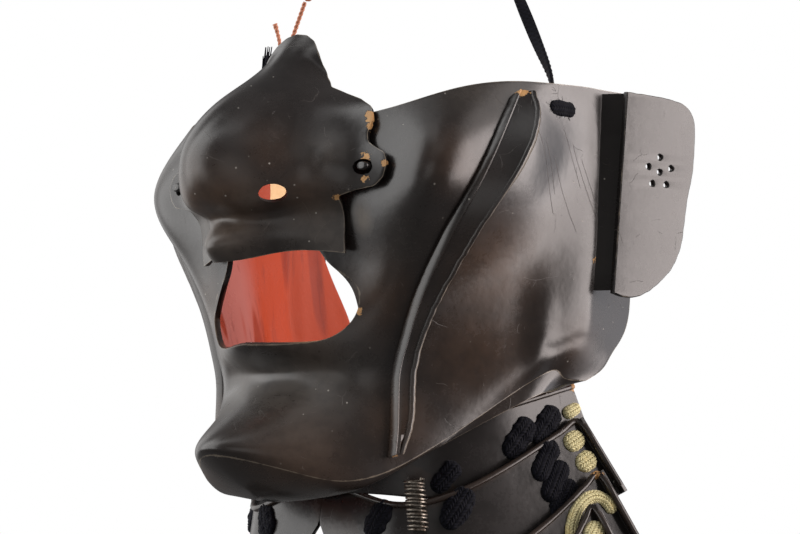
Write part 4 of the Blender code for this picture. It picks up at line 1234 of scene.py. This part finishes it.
def make_nose():
    rim = smooth_rim()[:-1]
    grid = nose_grid(rim, NOSE_COLUMNS)
    points = nose_sheet.points_at(grid).transpose(1, 0, 2)
    points[:, 0, 0] = 0
    line = both(np.vstack([points[:, -1], points[0], points[-1]]))
    nose = whole_wall("nose", grid_mesh("nose", [points]), NOSE_WALL, (NOSE_LACQUER, RED_LACQUER))
    bevel(nose, 0.5, 58)
    settle(nose)
    cutters = []
    for at, sizes, ragged in ((NOSTRIL["at"], NOSTRIL["size"], 0.02), (PEG["at"], PEG["hole"], 0.07)):
        middle, out = nose_place(*at)
        for centre, axis in ((middle, out), (mirrored(middle), mirrored(out))):
            cutters.append(ragged_prism(centre, axis, (-axis[1], axis[0], 0), sizes, 10, ragged))
    cut_holes(nose, cutters)
    worn, scuffed = [worn_share(points_of(nose), nose_sheet, NOSE_STATIONS, NOSE_LEVELS, table)
                     for table in (NOSE_WORN, NOSE_SCUFFED)]
    paint_wear(nose, worn, NOSE_CHIPS, line, scuffed=scuffed)
    finish_piece(nose, "black_lacquer", "nose_piece")


STUD_SIDES = 32
# Up the stud: the share of its height, and how wide it is there.
STUD_PROFILE = ((0, 1), (0.5, 1), (0.8, 1.02), (0.9, 0.98), (0.96, 0.86), (0.99, 0.66), (1.0, 0.4))


def make_pegs():
    """The studs, with rounded and hammered heads."""
    through_hole, out = nose_place(*PEG["at"])
    turn, level = shell_sheet.place([through_hole[[0, 2]]], (0, 2))[0]
    foot = shell_sheet.point(turn, level) + out * GAP
    tip = through_hole + out * PEG["proud"]
    for side, low, high in (("left", foot, tip), ("right", mirrored(foot), mirrored(tip))):
        axis = unit(high - low)
        across = Vector((-axis[1], axis[0], 0))
        place = turned_to(low, axis, across)
        tall = np.linalg.norm(high - low)
        rings = []
        for share, wide in STUD_PROFILE:
            oval = circle(STUD_SIDES) * np.array(PEG["stud"]) / 2 * wide
            ring = np.column_stack([oval, np.full(STUD_SIDES, tall * share)])
            ring[:, :2] *= 1 + 0.05 * ripple(ring + 40 * share, 2.0, 2)[:, None]
            rings.append([place @ Vector(p * MM) / MM for p in ring])
        peg = settle(add(f"peg_{side}", loft_mesh(f"peg_{side}", rings), NOSE_LACQUER))
        paint_wear(peg, 0, {}, np.array([high]), 2.0)
        finish_piece(peg, "black_lacquer", f"nose_peg_{side}")


# ------------------------------------------------------------------ ribs and ears
RIB_ROLL = {"wide": 1.3, "proud": 0.4, "round": 0.35}  # the flange's rolled edge
RIB_FILLET = {"top": 1.2, "bottom": 0.25, "out": 0.45}  # between the flange and its foot


def make_ribs():
    rows = rib_line(RIB_STEPS)
    places = shell_sheet.place(rows[:, :2], (1, 2))
    root, normal = shell_sheet.points_at(places), shell_sheet.normals_at(places)
    along = np.gradient(root, axis=0)
    lean = np.tile(unit(np.array(RIB_LEAN)), (len(root), 1))
    face = unit(np.cross(lean, along))
    face *= np.where(face[:, 1:2] > 0, -1, 1)
    pace = (shell_sheet.smooth(places[:, 0] - 0.01, places[:, 1])
            - shell_sheet.smooth(places[:, 0], places[:, 1]))
    uneven = 1 + 0.05 * ripple(root, 2.6, 8) + 0.02 * ripple(root, 1.1, 9)
    reach = RIB_WALL + rows[:, 3] * uneven
    toe_turn = places[:, 0] - 0.01 * reach / np.linalg.norm(pace, axis=1)
    toe = shell_sheet.point(toe_turn, places[:, 1])
    toe_normal = shell_sheet.normal(toe_turn, places[:, 1])
    heel = root + GAP * normal
    crown_uneven = 0.12 * ripple(root, 1.7, 4) + 0.16 * ripple(root, 5.0, 6)
    crown = heel + lean * (rows[:, 2] + crown_uneven)[:, None]
    toe_low = toe + 0.1 * toe_normal
    toe_high = toe_low + RIB_FOOT_WALL * toe_normal
    corner = heel + RIB_WALL * face + RIB_FOOT_WALL * normal
    rolled = crown + (RIB_WALL + RIB_ROLL["proud"]) * face
    neck = crown + RIB_WALL * face - (RIB_ROLL["wide"] + RIB_ROLL["round"]) * lean
    sections = np.stack([heel, crown, crown + RIB_WALL * face,
                         rolled - RIB_ROLL["round"] * lean, rolled - RIB_ROLL["wide"] * lean, neck,
                         corner + RIB_FILLET["top"] * lean, corner + RIB_FILLET["bottom"] * lean,
                         corner + RIB_FILLET["out"] * face, toe_high, toe_low], axis=1)
    for side, sign in SIDES:
        rib = add(f"rib_{side}", loft_mesh(f"rib_{side}", sections * (sign, 1, 1)), BLACK_LACQUER)
        bevel(rib, 0.38, 48)
        settle(rib)
        line = np.vstack([crown, crown + RIB_WALL * face]) * (sign, 1, 1)
        worn = worn_share(points_of(rib), shell_sheet, STATIONS, SHELL_LEVELS, SHELL_WORN)
        paint_wear(rib, worn, RIB_CHIPS, line, 1.2)
        finish_piece(rib, "black_lacquer", f"cord_rib_{side}")


def ear_face(y, z):
    """x of the plate's outer face at a place on it."""
    return EAR_FACE - EAR_LEAN * (EAR_TOP - z) + EAR_FLARE * (y - EAR_FRONT)


EAR_ROUND = 0.45


def closed_spline(curve, points):
    spline = curve.splines.new("POLY")
    spline.points.add(len(points) - 1)
    for place, (y, z) in zip(spline.points, points):
        place.co = (y * MM, z * MM, 0, 1)
    spline.use_cyclic_u = True


def make_ears():
    turn = {key: np.array(value) for key, value in EAR_TURN.items()}
    heights = np.linspace(0, 1, 60)[:, None]
    at_shell = turn["root low"] * (1 - heights) + turn["root high"] * heights
    at_plate = turn["plate low"] * (1 - heights) + turn["plate high"] * heights
    places = shell_sheet.place(at_shell, (1, 2))
    foot = shell_sheet.points_at(places) - 0.2 * shell_sheet.normals_at(places)
    low_end = np.clip((0.16 - heights[:, 0]) / 0.16, 0, 1)
    foot[:, 1] += 0.35 * ripple(foot, 1.4, 12) * (0.3 + low_end) + 0.8 * low_end**3
    edge = np.column_stack([ear_face(at_plate[:, 0], at_plate[:, 1]) - EAR_WALL / 2, at_plate])
    inwards = np.array([0, EAR_WALL * 0.8, 0])
    flange = np.stack([foot, edge, edge + inwards, foot + inwards], axis=1)
    rear = through(EAR_OUTLINE, np.linspace(0, 1, 150))
    flat = np.column_stack([rear, 0 * rear[:, :1]])
    rear += 0.12 * np.column_stack([ripple(flat, 3.0, seed) for seed in (21, 22)])
    front = np.linspace(rear[-1], rear[0], 40)[1:-1]
    outline = np.vstack([rear, front])
    spokes = 2 * math.pi * np.arange(EAR_HOLES["count"]) / EAR_HOLES["count"]
    holes = [EAR_HOLES["middle"]]
    for spoke in spokes:
        holes.append((EAR_HOLES["middle"][0] + EAR_HOLES["ring"] * math.sin(spoke),
                      EAR_HOLES["middle"][1] + EAR_HOLES["ring"] * math.cos(spoke)))
    for side, sign in SIDES:
        curve = bpy.data.curves.new("outline", "CURVE")
        curve.dimensions = "2D"
        curve.fill_mode = "BOTH"
        curve.extrude = (EAR_WALL / 2 - EAR_ROUND) * MM
        curve.bevel_depth = EAR_ROUND * MM
        curve.bevel_resolution = 3
        curve.offset = -EAR_ROUND * MM
        closed_spline(curve, outline)
        for number, (y, z) in enumerate(holes):
            radius = EAR_HOLES["size"] / 2 * (1 + 0.09 * np.sin(3 * round_angles(22) + number))
            closed_spline(curve, (y, z) + radius[:, None] * circle(22))
        helper = add("outline", curve)
        bpy.context.view_layer.update()
        mesh = bpy.data.meshes.new_from_object(helper.evaluated_get(bpy.context.evaluated_depsgraph_get()))
        bpy.data.objects.remove(helper)
        middle = sign * (ear_face(0, 0) - EAR_WALL / 2)
        mesh.transform(Matrix(((sign * EAR_FLARE, sign * EAR_LEAN, 1, middle * MM),
                               (1, 0, 0, 0), (0, 1, 0, 0), (0, 0, 0, 1))))
        mesh.materials.clear()
        bm = bmesh.new()
        bm.from_mesh(mesh)
        bmesh.ops.remove_doubles(bm, verts=bm.verts, dist=0.004 * MM)
        plate_faces = len(bm.faces)
        loft(bm, flange * (sign, 1, 1))
        bm.faces.ensure_lookup_table()
        # The turned-in step takes the darker, less glossy copy of the lacquer: painted shade.
        for face in bm.faces[plate_faces:]:
            face.material_index = 1
        bmesh.ops.recalc_face_normals(bm, faces=bm.faces)
        ear = add(f"ear_{side}", filled(mesh, bm), BLACK_LACQUER, SHADED_STEP_LACQUER)
        settle(ear, 40)
        line = np.column_stack([ear_face(outline[:, 0], outline[:, 1]), outline])
        line = np.vstack([line, line - (EAR_WALL, 0, 0)]) * (sign, 1, 1)
        paint_wear(ear, 0, {}, line, 1.3)
        finish_piece(ear, "black_lacquer", f"ear_plate_{side}")


# ------------------------------------------------------------------ throat guard
RIM = 1.05  # the radius of the lames' rolled rims


def tube_rings(path, radius, across, sides=12):
    radius = np.broadcast_to(radius, len(path))
    return sweep(np.asarray(path), radius[:, None, None] * circle(sides)[None], across)


def plate_rings(grid, wall):
    """Closed rings round a plate, one for each column of a grid of rows (up) and columns (along)."""
    along = np.gradient(grid, axis=1)
    up = np.gradient(grid, axis=0)
    out = unit(np.cross(along, up))
    inner = grid - wall * out
    return [np.vstack([grid[:, j], inner[::-1, j]]) for j in range(grid.shape[1])], out


def make_lames():
    for name in LAMES:
        grid = lame_grid(name, LAME_ALONG, LAME_UP)
        rings, out = plate_rings(grid, LAME_WALL)
        top = grid[-1] + 0.25 * out[-1]
        end = grid[::-1, -1] + 0.1 * out[::-1, -1]
        whole = name not in SPLIT_LAMES
        for side, sign in SIDES:
            flip = np.array([sign, 1, 1])
            solids = [[ring * flip for ring in rings]]
            if LAMES[name][2]:
                rim = np.vstack([top[:-3], top[-3:-2], top[-1:], end[2:]])
                rim = through(rim[::4], np.linspace(0, 1, 3 * len(rim[::4])))
            else:
                rim = top
            solids.append(tube_rings(rim * flip, RIM * (1 + 0.05 * ripple(rim, 4.0, 5)), (0, 0, 1)))
            full = f"{name}_{side}"
            lame = add(full, loft_mesh(full, *solids), LAME_LACQUER)
            bevel(lame, 0.3, 60, 2)
            settle(lame, 45)
            points = points_of(lame)
            worn = 0.75 * near_line(points, rim * flip, 1.9) + 0.25 * (ripple(points, 14.0, 31) > 0.6)
            paint_wear(lame, np.clip(worn, 0, 1), LAME_CHIPS, rim * flip, 2.2)
            if whole and side == "right":
                finish_piece(lame, "black_lacquer")
            else:
                finish_piece(lame, "black_lacquer", name if whole else full)


# Knots that show but have no solid of their own: lame, column, how far up, length and width.
SHADED_KNOTS = {
    "navy_7": ("throat_lame_2", 1, 0.3, 9.0, 6.0),
    "navy_8": ("throat_lame_1", 4.5, 0.3, 7.0, 5.5),
}
# For each finish: the plait's pitch in mm, how ragged it is, and how many times its solid's width.
PLAITS = {"navy_cord": (1.25, 0.13, 1.22), "pale_cord": (1.05, 0.07, 1.1)}
PAD_HIGH = 2.4
NAVY_SLANT = 0.16  # how much further up the lame a navy knot's rear end stands, as a share of its height
# The pale cord that arches over the third lame's rear corner: its reach from its foot each way.
ARCH = {"knot": "lacing_pale_4", "back": 0.075, "up": 0.28, "foot": 0.6, "width": 4.2}
PAD_STEP = 0.13
PLAIT_ROW = 1.25  # the width of a row of the plait, in pitches
PLAIT_DEPTH = 0.42
PAD_SUNK = 0.5  # how far a knot's rim lies below the plate's face


def pad_mesh(name, spine, normals, width, high, pitch, ragged=0.06):
    """A pillow of plaited cord along a spine of points in mm, with the attribute weave."""
    spine, normals = np.asarray(spine), np.asarray(normals)
    total = length_of(spine) + width
    count = round(total / PAD_STEP)
    before, after = unit(spine[1] - spine[0]), unit(spine[-1] - spine[-2])
    longer = np.vstack([spine[0] - before * width / 2, spine, spine[-1] + after * width / 2])
    path = through(longer, np.linspace(0, 1, count))
    places = np.linspace(0, len(normals) - 1, count)
    normal = np.column_stack([np.interp(places, range(len(normals)), normals[:, i]) for i in range(3)])
    normal = unit(normal)
    side = np.cross(normal, unit(np.gradient(path, axis=0)))
    along = np.linspace(0, total, count)
    near_end = np.minimum(along, total - along)
    half = width / 2 * np.sqrt(np.clip(1 - (1 - np.clip(near_end / (width / 2), 0.0, 1)) ** 2, 0.004, 1))
    half = half * (1 + ragged * ripple(path, 2.2, 41) + 0.6 * ragged * ripple(path, 0.9, 42))
    across = np.sin(np.linspace(-math.pi / 2, math.pi / 2, round(width / PAD_STEP) + 1))
    s, t = np.meshgrid(along, across, indexing="ij")
    real = t * half[:, None]
    dome = np.sqrt(np.clip(1 - t**2, 0, 1)) ** 0.7
    end = (half / (width / 2))[:, None] ** 0.6
    slant = np.abs(np.sin(math.pi * (s / pitch + real / pitch)))
    other = np.abs(np.sin(math.pi * (s / pitch - real / pitch)))
    row = np.abs(np.sin(math.pi * real / (PLAIT_ROW * pitch)))
    weave = np.where(np.floor(real / (PLAIT_ROW * pitch)) % 2 == 0, slant, other) ** 0.6 * row**0.5
    height = high * dome * end - PAD_SUNK + PLAIT_DEPTH * (weave - 0.6) * dome
    points = path[:, None] + side[:, None] * real[..., None] + normal[:, None] * height[..., None]
    lump = ripple(points.reshape(-1, 3), 2.4, 43).reshape(height.shape) * dome * end
    points = points + normal[:, None] * (2.4 * ragged * lump)[..., None]
    mesh = grid_mesh(name, [points], 0.0)
    # The cord materials darken the colour where weave is low: painted shade in the gaps of the plait.
    paint(mesh, "weave", np.clip(weave, 0, 1).ravel())
    mesh.shade_smooth()
    return mesh


def knot_spine(sheet, turn, level, length, width, slant):
    """Places along the middle of a knot, less its round ends."""
    whole = length_of(sheet.point(np.linspace(0, 1, 60), level))
    reach = max(0.5, (length - 0.6 * width) / 2) / whole
    share = np.linspace(-1, 1, 6)
    return np.column_stack([turn + reach * share, level + slant / 2 * share])


def arch_spine(turn):
    angles = np.radians(np.linspace(180, 0, 14))
    return np.column_stack([turn - ARCH["back"] * (1 - np.cos(angles)) + ARCH["back"] * 0.3,
                            ARCH["foot"] + ARCH["up"] * np.sin(angles)])


def make_pads():
    """Each knot of lacing as a plaited pillow that follows its lame."""
    knots = {}
    for node, (lame, column, row, length, width, finish) in LACING.items():
        knots[node.removeprefix("lacing_")] = (lame, *lace_place(column, row), length, width, finish, node)
    for name, (lame, column, level, length, width) in SHADED_KNOTS.items():
        knots[name] = (lame, LACE_REAR - LACE_PITCH * column, level, length, width, "navy_cord", None)
    for name, (lame, turn, level, length, width, slot, node) in knots.items():
        sheet = lame_sheets[lame]
        navy = slot == "navy_cord"
        if node == ARCH["knot"]:
            places, width = arch_spine(turn), ARCH["width"]
        else:
            places = knot_spine(sheet, turn, level, length, width, NAVY_SLANT if navy else 0)
        points, normals = sheet.points_at(places), sheet.normals_at(places)
        for side, sign in SIDES:
            flip = np.array([sign, 1, 1])
            full = f"pad_{name}_{side}"
            pitch, ragged, fuller = PLAITS[slot]
            mesh = pad_mesh(full, points * flip, normals * flip, fuller * width, PAD_HIGH, pitch, ragged)
            pad = add(full, mesh, NAVY if navy else PALE)
            finish_piece(pad, slot, *([f"{node}_{side}"] if node else []))


# The loose fibres at each slot's rim.
FIBRES = {"count": 26, "points": 7, "sides": 5, "radius": 0.06}


def make_braids():
    """The plait that fills each slot, with loose fibres at its rim."""
    for side, sign in SIDES:
        x, y, z = BRAID["at"]
        width = BRAID["size"][2] + 1.0
        reach = (BRAID["size"][1] + 1.0 - width) / 2
        spine = np.array([(x - 0.8, y - reach, z), (x - 0.7, y, z + 0.1), (x - 0.8, y + reach, z)])
        spine = spine * (sign, 1, 1)
        mesh = pad_mesh("braid", spine, np.tile((sign, 0, 0), (3, 1)), width, 1.9, 1.15)
        braid = add(f"slot_plait_{side}", mesh, NAVY)
        finish_piece(braid, "navy_cord", f"slot_braid_{side}")
        generator = np.random.default_rng(17)
        strands = []
        for _ in range(FIBRES["count"]):
            angle = generator.uniform(0, 2 * math.pi)
            start = np.array([x - 0.5, y + 0.48 * BRAID["size"][1] * math.cos(angle),
                              z + 0.5 * BRAID["size"][2] * math.sin(angle)])
            way = np.array([0.7, 1.2 * math.cos(angle), 1.1 * math.sin(angle)]) * generator.uniform(0.4, 1.0)
            curl = generator.normal(size=3) * (0.1, 0.5, 0.5)
            share = np.linspace(0, 1, FIBRES["points"])[:, None]
            path = (start + way * share + curl * share**2) * (sign, 1, 1)
            rings = tube_rings(path, FIBRES["radius"], (0, 0.3, 1), FIBRES["sides"])
            strands.append((rings, np.full((FIBRES["points"], FIBRES["sides"]), 0.7)))
        fibres = add(f"slot_fibres_{side}", cord_mesh("slot_fibres", strands), NAVY)
        finish_piece(fibres, "navy_cord")


COIL_LEAN = (0.06, 0.06)  # how far it hangs to the left and back for each mm down


def make_coil():
    radius = (COIL["outer"] - COIL["wire"]) / 2
    pitch = (COIL["length"] - COIL["wire"]) / COIL["turns"]
    at = np.arange(COIL_STEPS * COIL["turns"] + 1) / COIL_STEPS
    angle = 2 * math.pi * at
    uneven = 1 + 0.03 * np.sin(at * 2.3) + 0.02 * np.sin(at * 5.1)
    path = np.column_stack([COIL["at"][0] + radius * uneven * np.cos(angle),
                            COIL["at"][1] + radius * uneven * np.sin(angle),
                            COIL["top"] - COIL["wire"] / 2 - pitch * (at + 0.16 * np.sin(at * 1.7))])
    path[:, :2] += np.outer(path[0, 2] - path[:, 2], COIL_LEAN)
    coil = add("coil", loft_mesh("coil", tube_rings(path, COIL["wire"] / 2 * 1.05, (0, 0, 1), 10)), WIRE)
    settle(coil, 60)
    finish_piece(coil, "steel_wire", "wire_coil")


# ------------------------------------------------------------------ studio
# Soft panels of light all round, as the sky. All angles are in degrees: the azimuth from the front
# to the wearer's left and the elevation of the middle, half the width and half the height, and how
# far the edge fades over. Then come the strength and the colour.
SOFT_LIGHTS = {
    "window at the left rear": (123, 5, 20, 27, 10, 8.0, (1.0, 0.90, 0.87)),
    "second over it":          (124, 44, 18, 12, 14, 2.0, (1.0, 0.93, 0.90)),
    "wall at the left":        (156, 2, 16, 30, 22, 1.4, (0.97, 0.95, 1.0)),
    "wall at the right front": (-42, 22, 32, 38, 20, 3.1, (1.0, 0.99, 0.98)),
    "wall at the right":       (-96, 12, 20, 26, 16, 1.0, (1.0, 0.99, 0.98)),
    "high in front":           (8, 66, 30, 9, 20, 1.15, (1.0, 0.98, 0.97)),
    "over the front":          (50, 44, 20, 12, 14, 0.35, (1.0, 0.97, 0.95)),
    "front":                   (36, 2, 12, 16, 16, 0.7, (1.0, 0.97, 0.95)),
    "low front":               (16, -26, 14, 10, 14, 0.15, (1.0, 0.97, 0.95)),
}
ALL_ROUND = (0.14, 0.135, 0.135)
FLOOR_SIDES = 96
FLOOR_HEIGHT = -520.0
FLOOR_RINGS = (10, 1500, 9000)  # radii


def make_studio():
    world = bpy.data.worlds.new("studio")
    bpy.context.scene.world = world
    world.use_nodes = True
    n = Nodes(world.node_tree)
    way = n.new("ShaderNodeTexCoord").outputs["Generated"]
    flat = n.vector("NORMALIZE", n.vector("MULTIPLY", way, (1, 1, 0)))
    height = n.math("ARCSINE", n.new("ShaderNodeSeparateXYZ", {0: way}).outputs[2])
    total = None
    for azimuth, elevation, half_width, half_height, fade, strength, colour in SOFT_LIGHTS.values():
        turn = math.radians(azimuth)
        facing = n.vector("DOT_PRODUCT", flat, (math.sin(turn), -math.cos(turn), 0), out="Value")
        inner, outer = [math.radians(half_width + side * fade / 2) for side in (-1, 1)]
        within = n.spread(facing, math.cos(outer), math.cos(inner), 0.0, strength)
        inner, outer = [math.radians(half_height + side * fade / 2) for side in (-1, 1)]
        away = n.math("ABSOLUTE", n.minus(height, math.radians(elevation)))
        light = n.scale(tuple(colour), n.times(within, n.spread(away, outer, inner)))
        total = n.vector("ADD", light, ALL_ROUND if total is None else total)
    seen = n.new("ShaderNodeLightPath").outputs["Is Camera Ray"]
    around = n.new("ShaderNodeBackground", {"Color": total, "Strength": 1.0})
    backdrop = n.new("ShaderNodeBackground", {"Color": (1, 1, 1, 1), "Strength": 1.0})
    both_skies = n.new("ShaderNodeMixShader", {0: seen, 1: around.outputs[0], 2: backdrop.outputs[0]})
    n.new("ShaderNodeOutputWorld", {"Surface": both_skies.outputs[0]})

    made, m = material("pale_floor")
    speckle = m.noise(m.at(), 3.0, 3.0)
    surface(m, m.mix(speckle, (0.80, 0.80, 0.79), (0.86, 0.86, 0.85)), 0.7)
    rings = [np.column_stack([radius * circle(FLOOR_SIDES), np.full(FLOOR_SIDES, FLOOR_HEIGHT)])
             for radius in FLOOR_RINGS]
    floor = add("floor", loft_mesh("floor", rings, closed=False), made)
    floor.visible_glossy = False
    floor.visible_diffuse = False
    bpy.context.scene.view_settings.view_transform = "Standard"


make_cords()
make_shell()
make_nose()
make_pegs()
make_ribs()
make_ears()
make_lames()
make_pads()
make_braids()
make_coil()
make_studio()
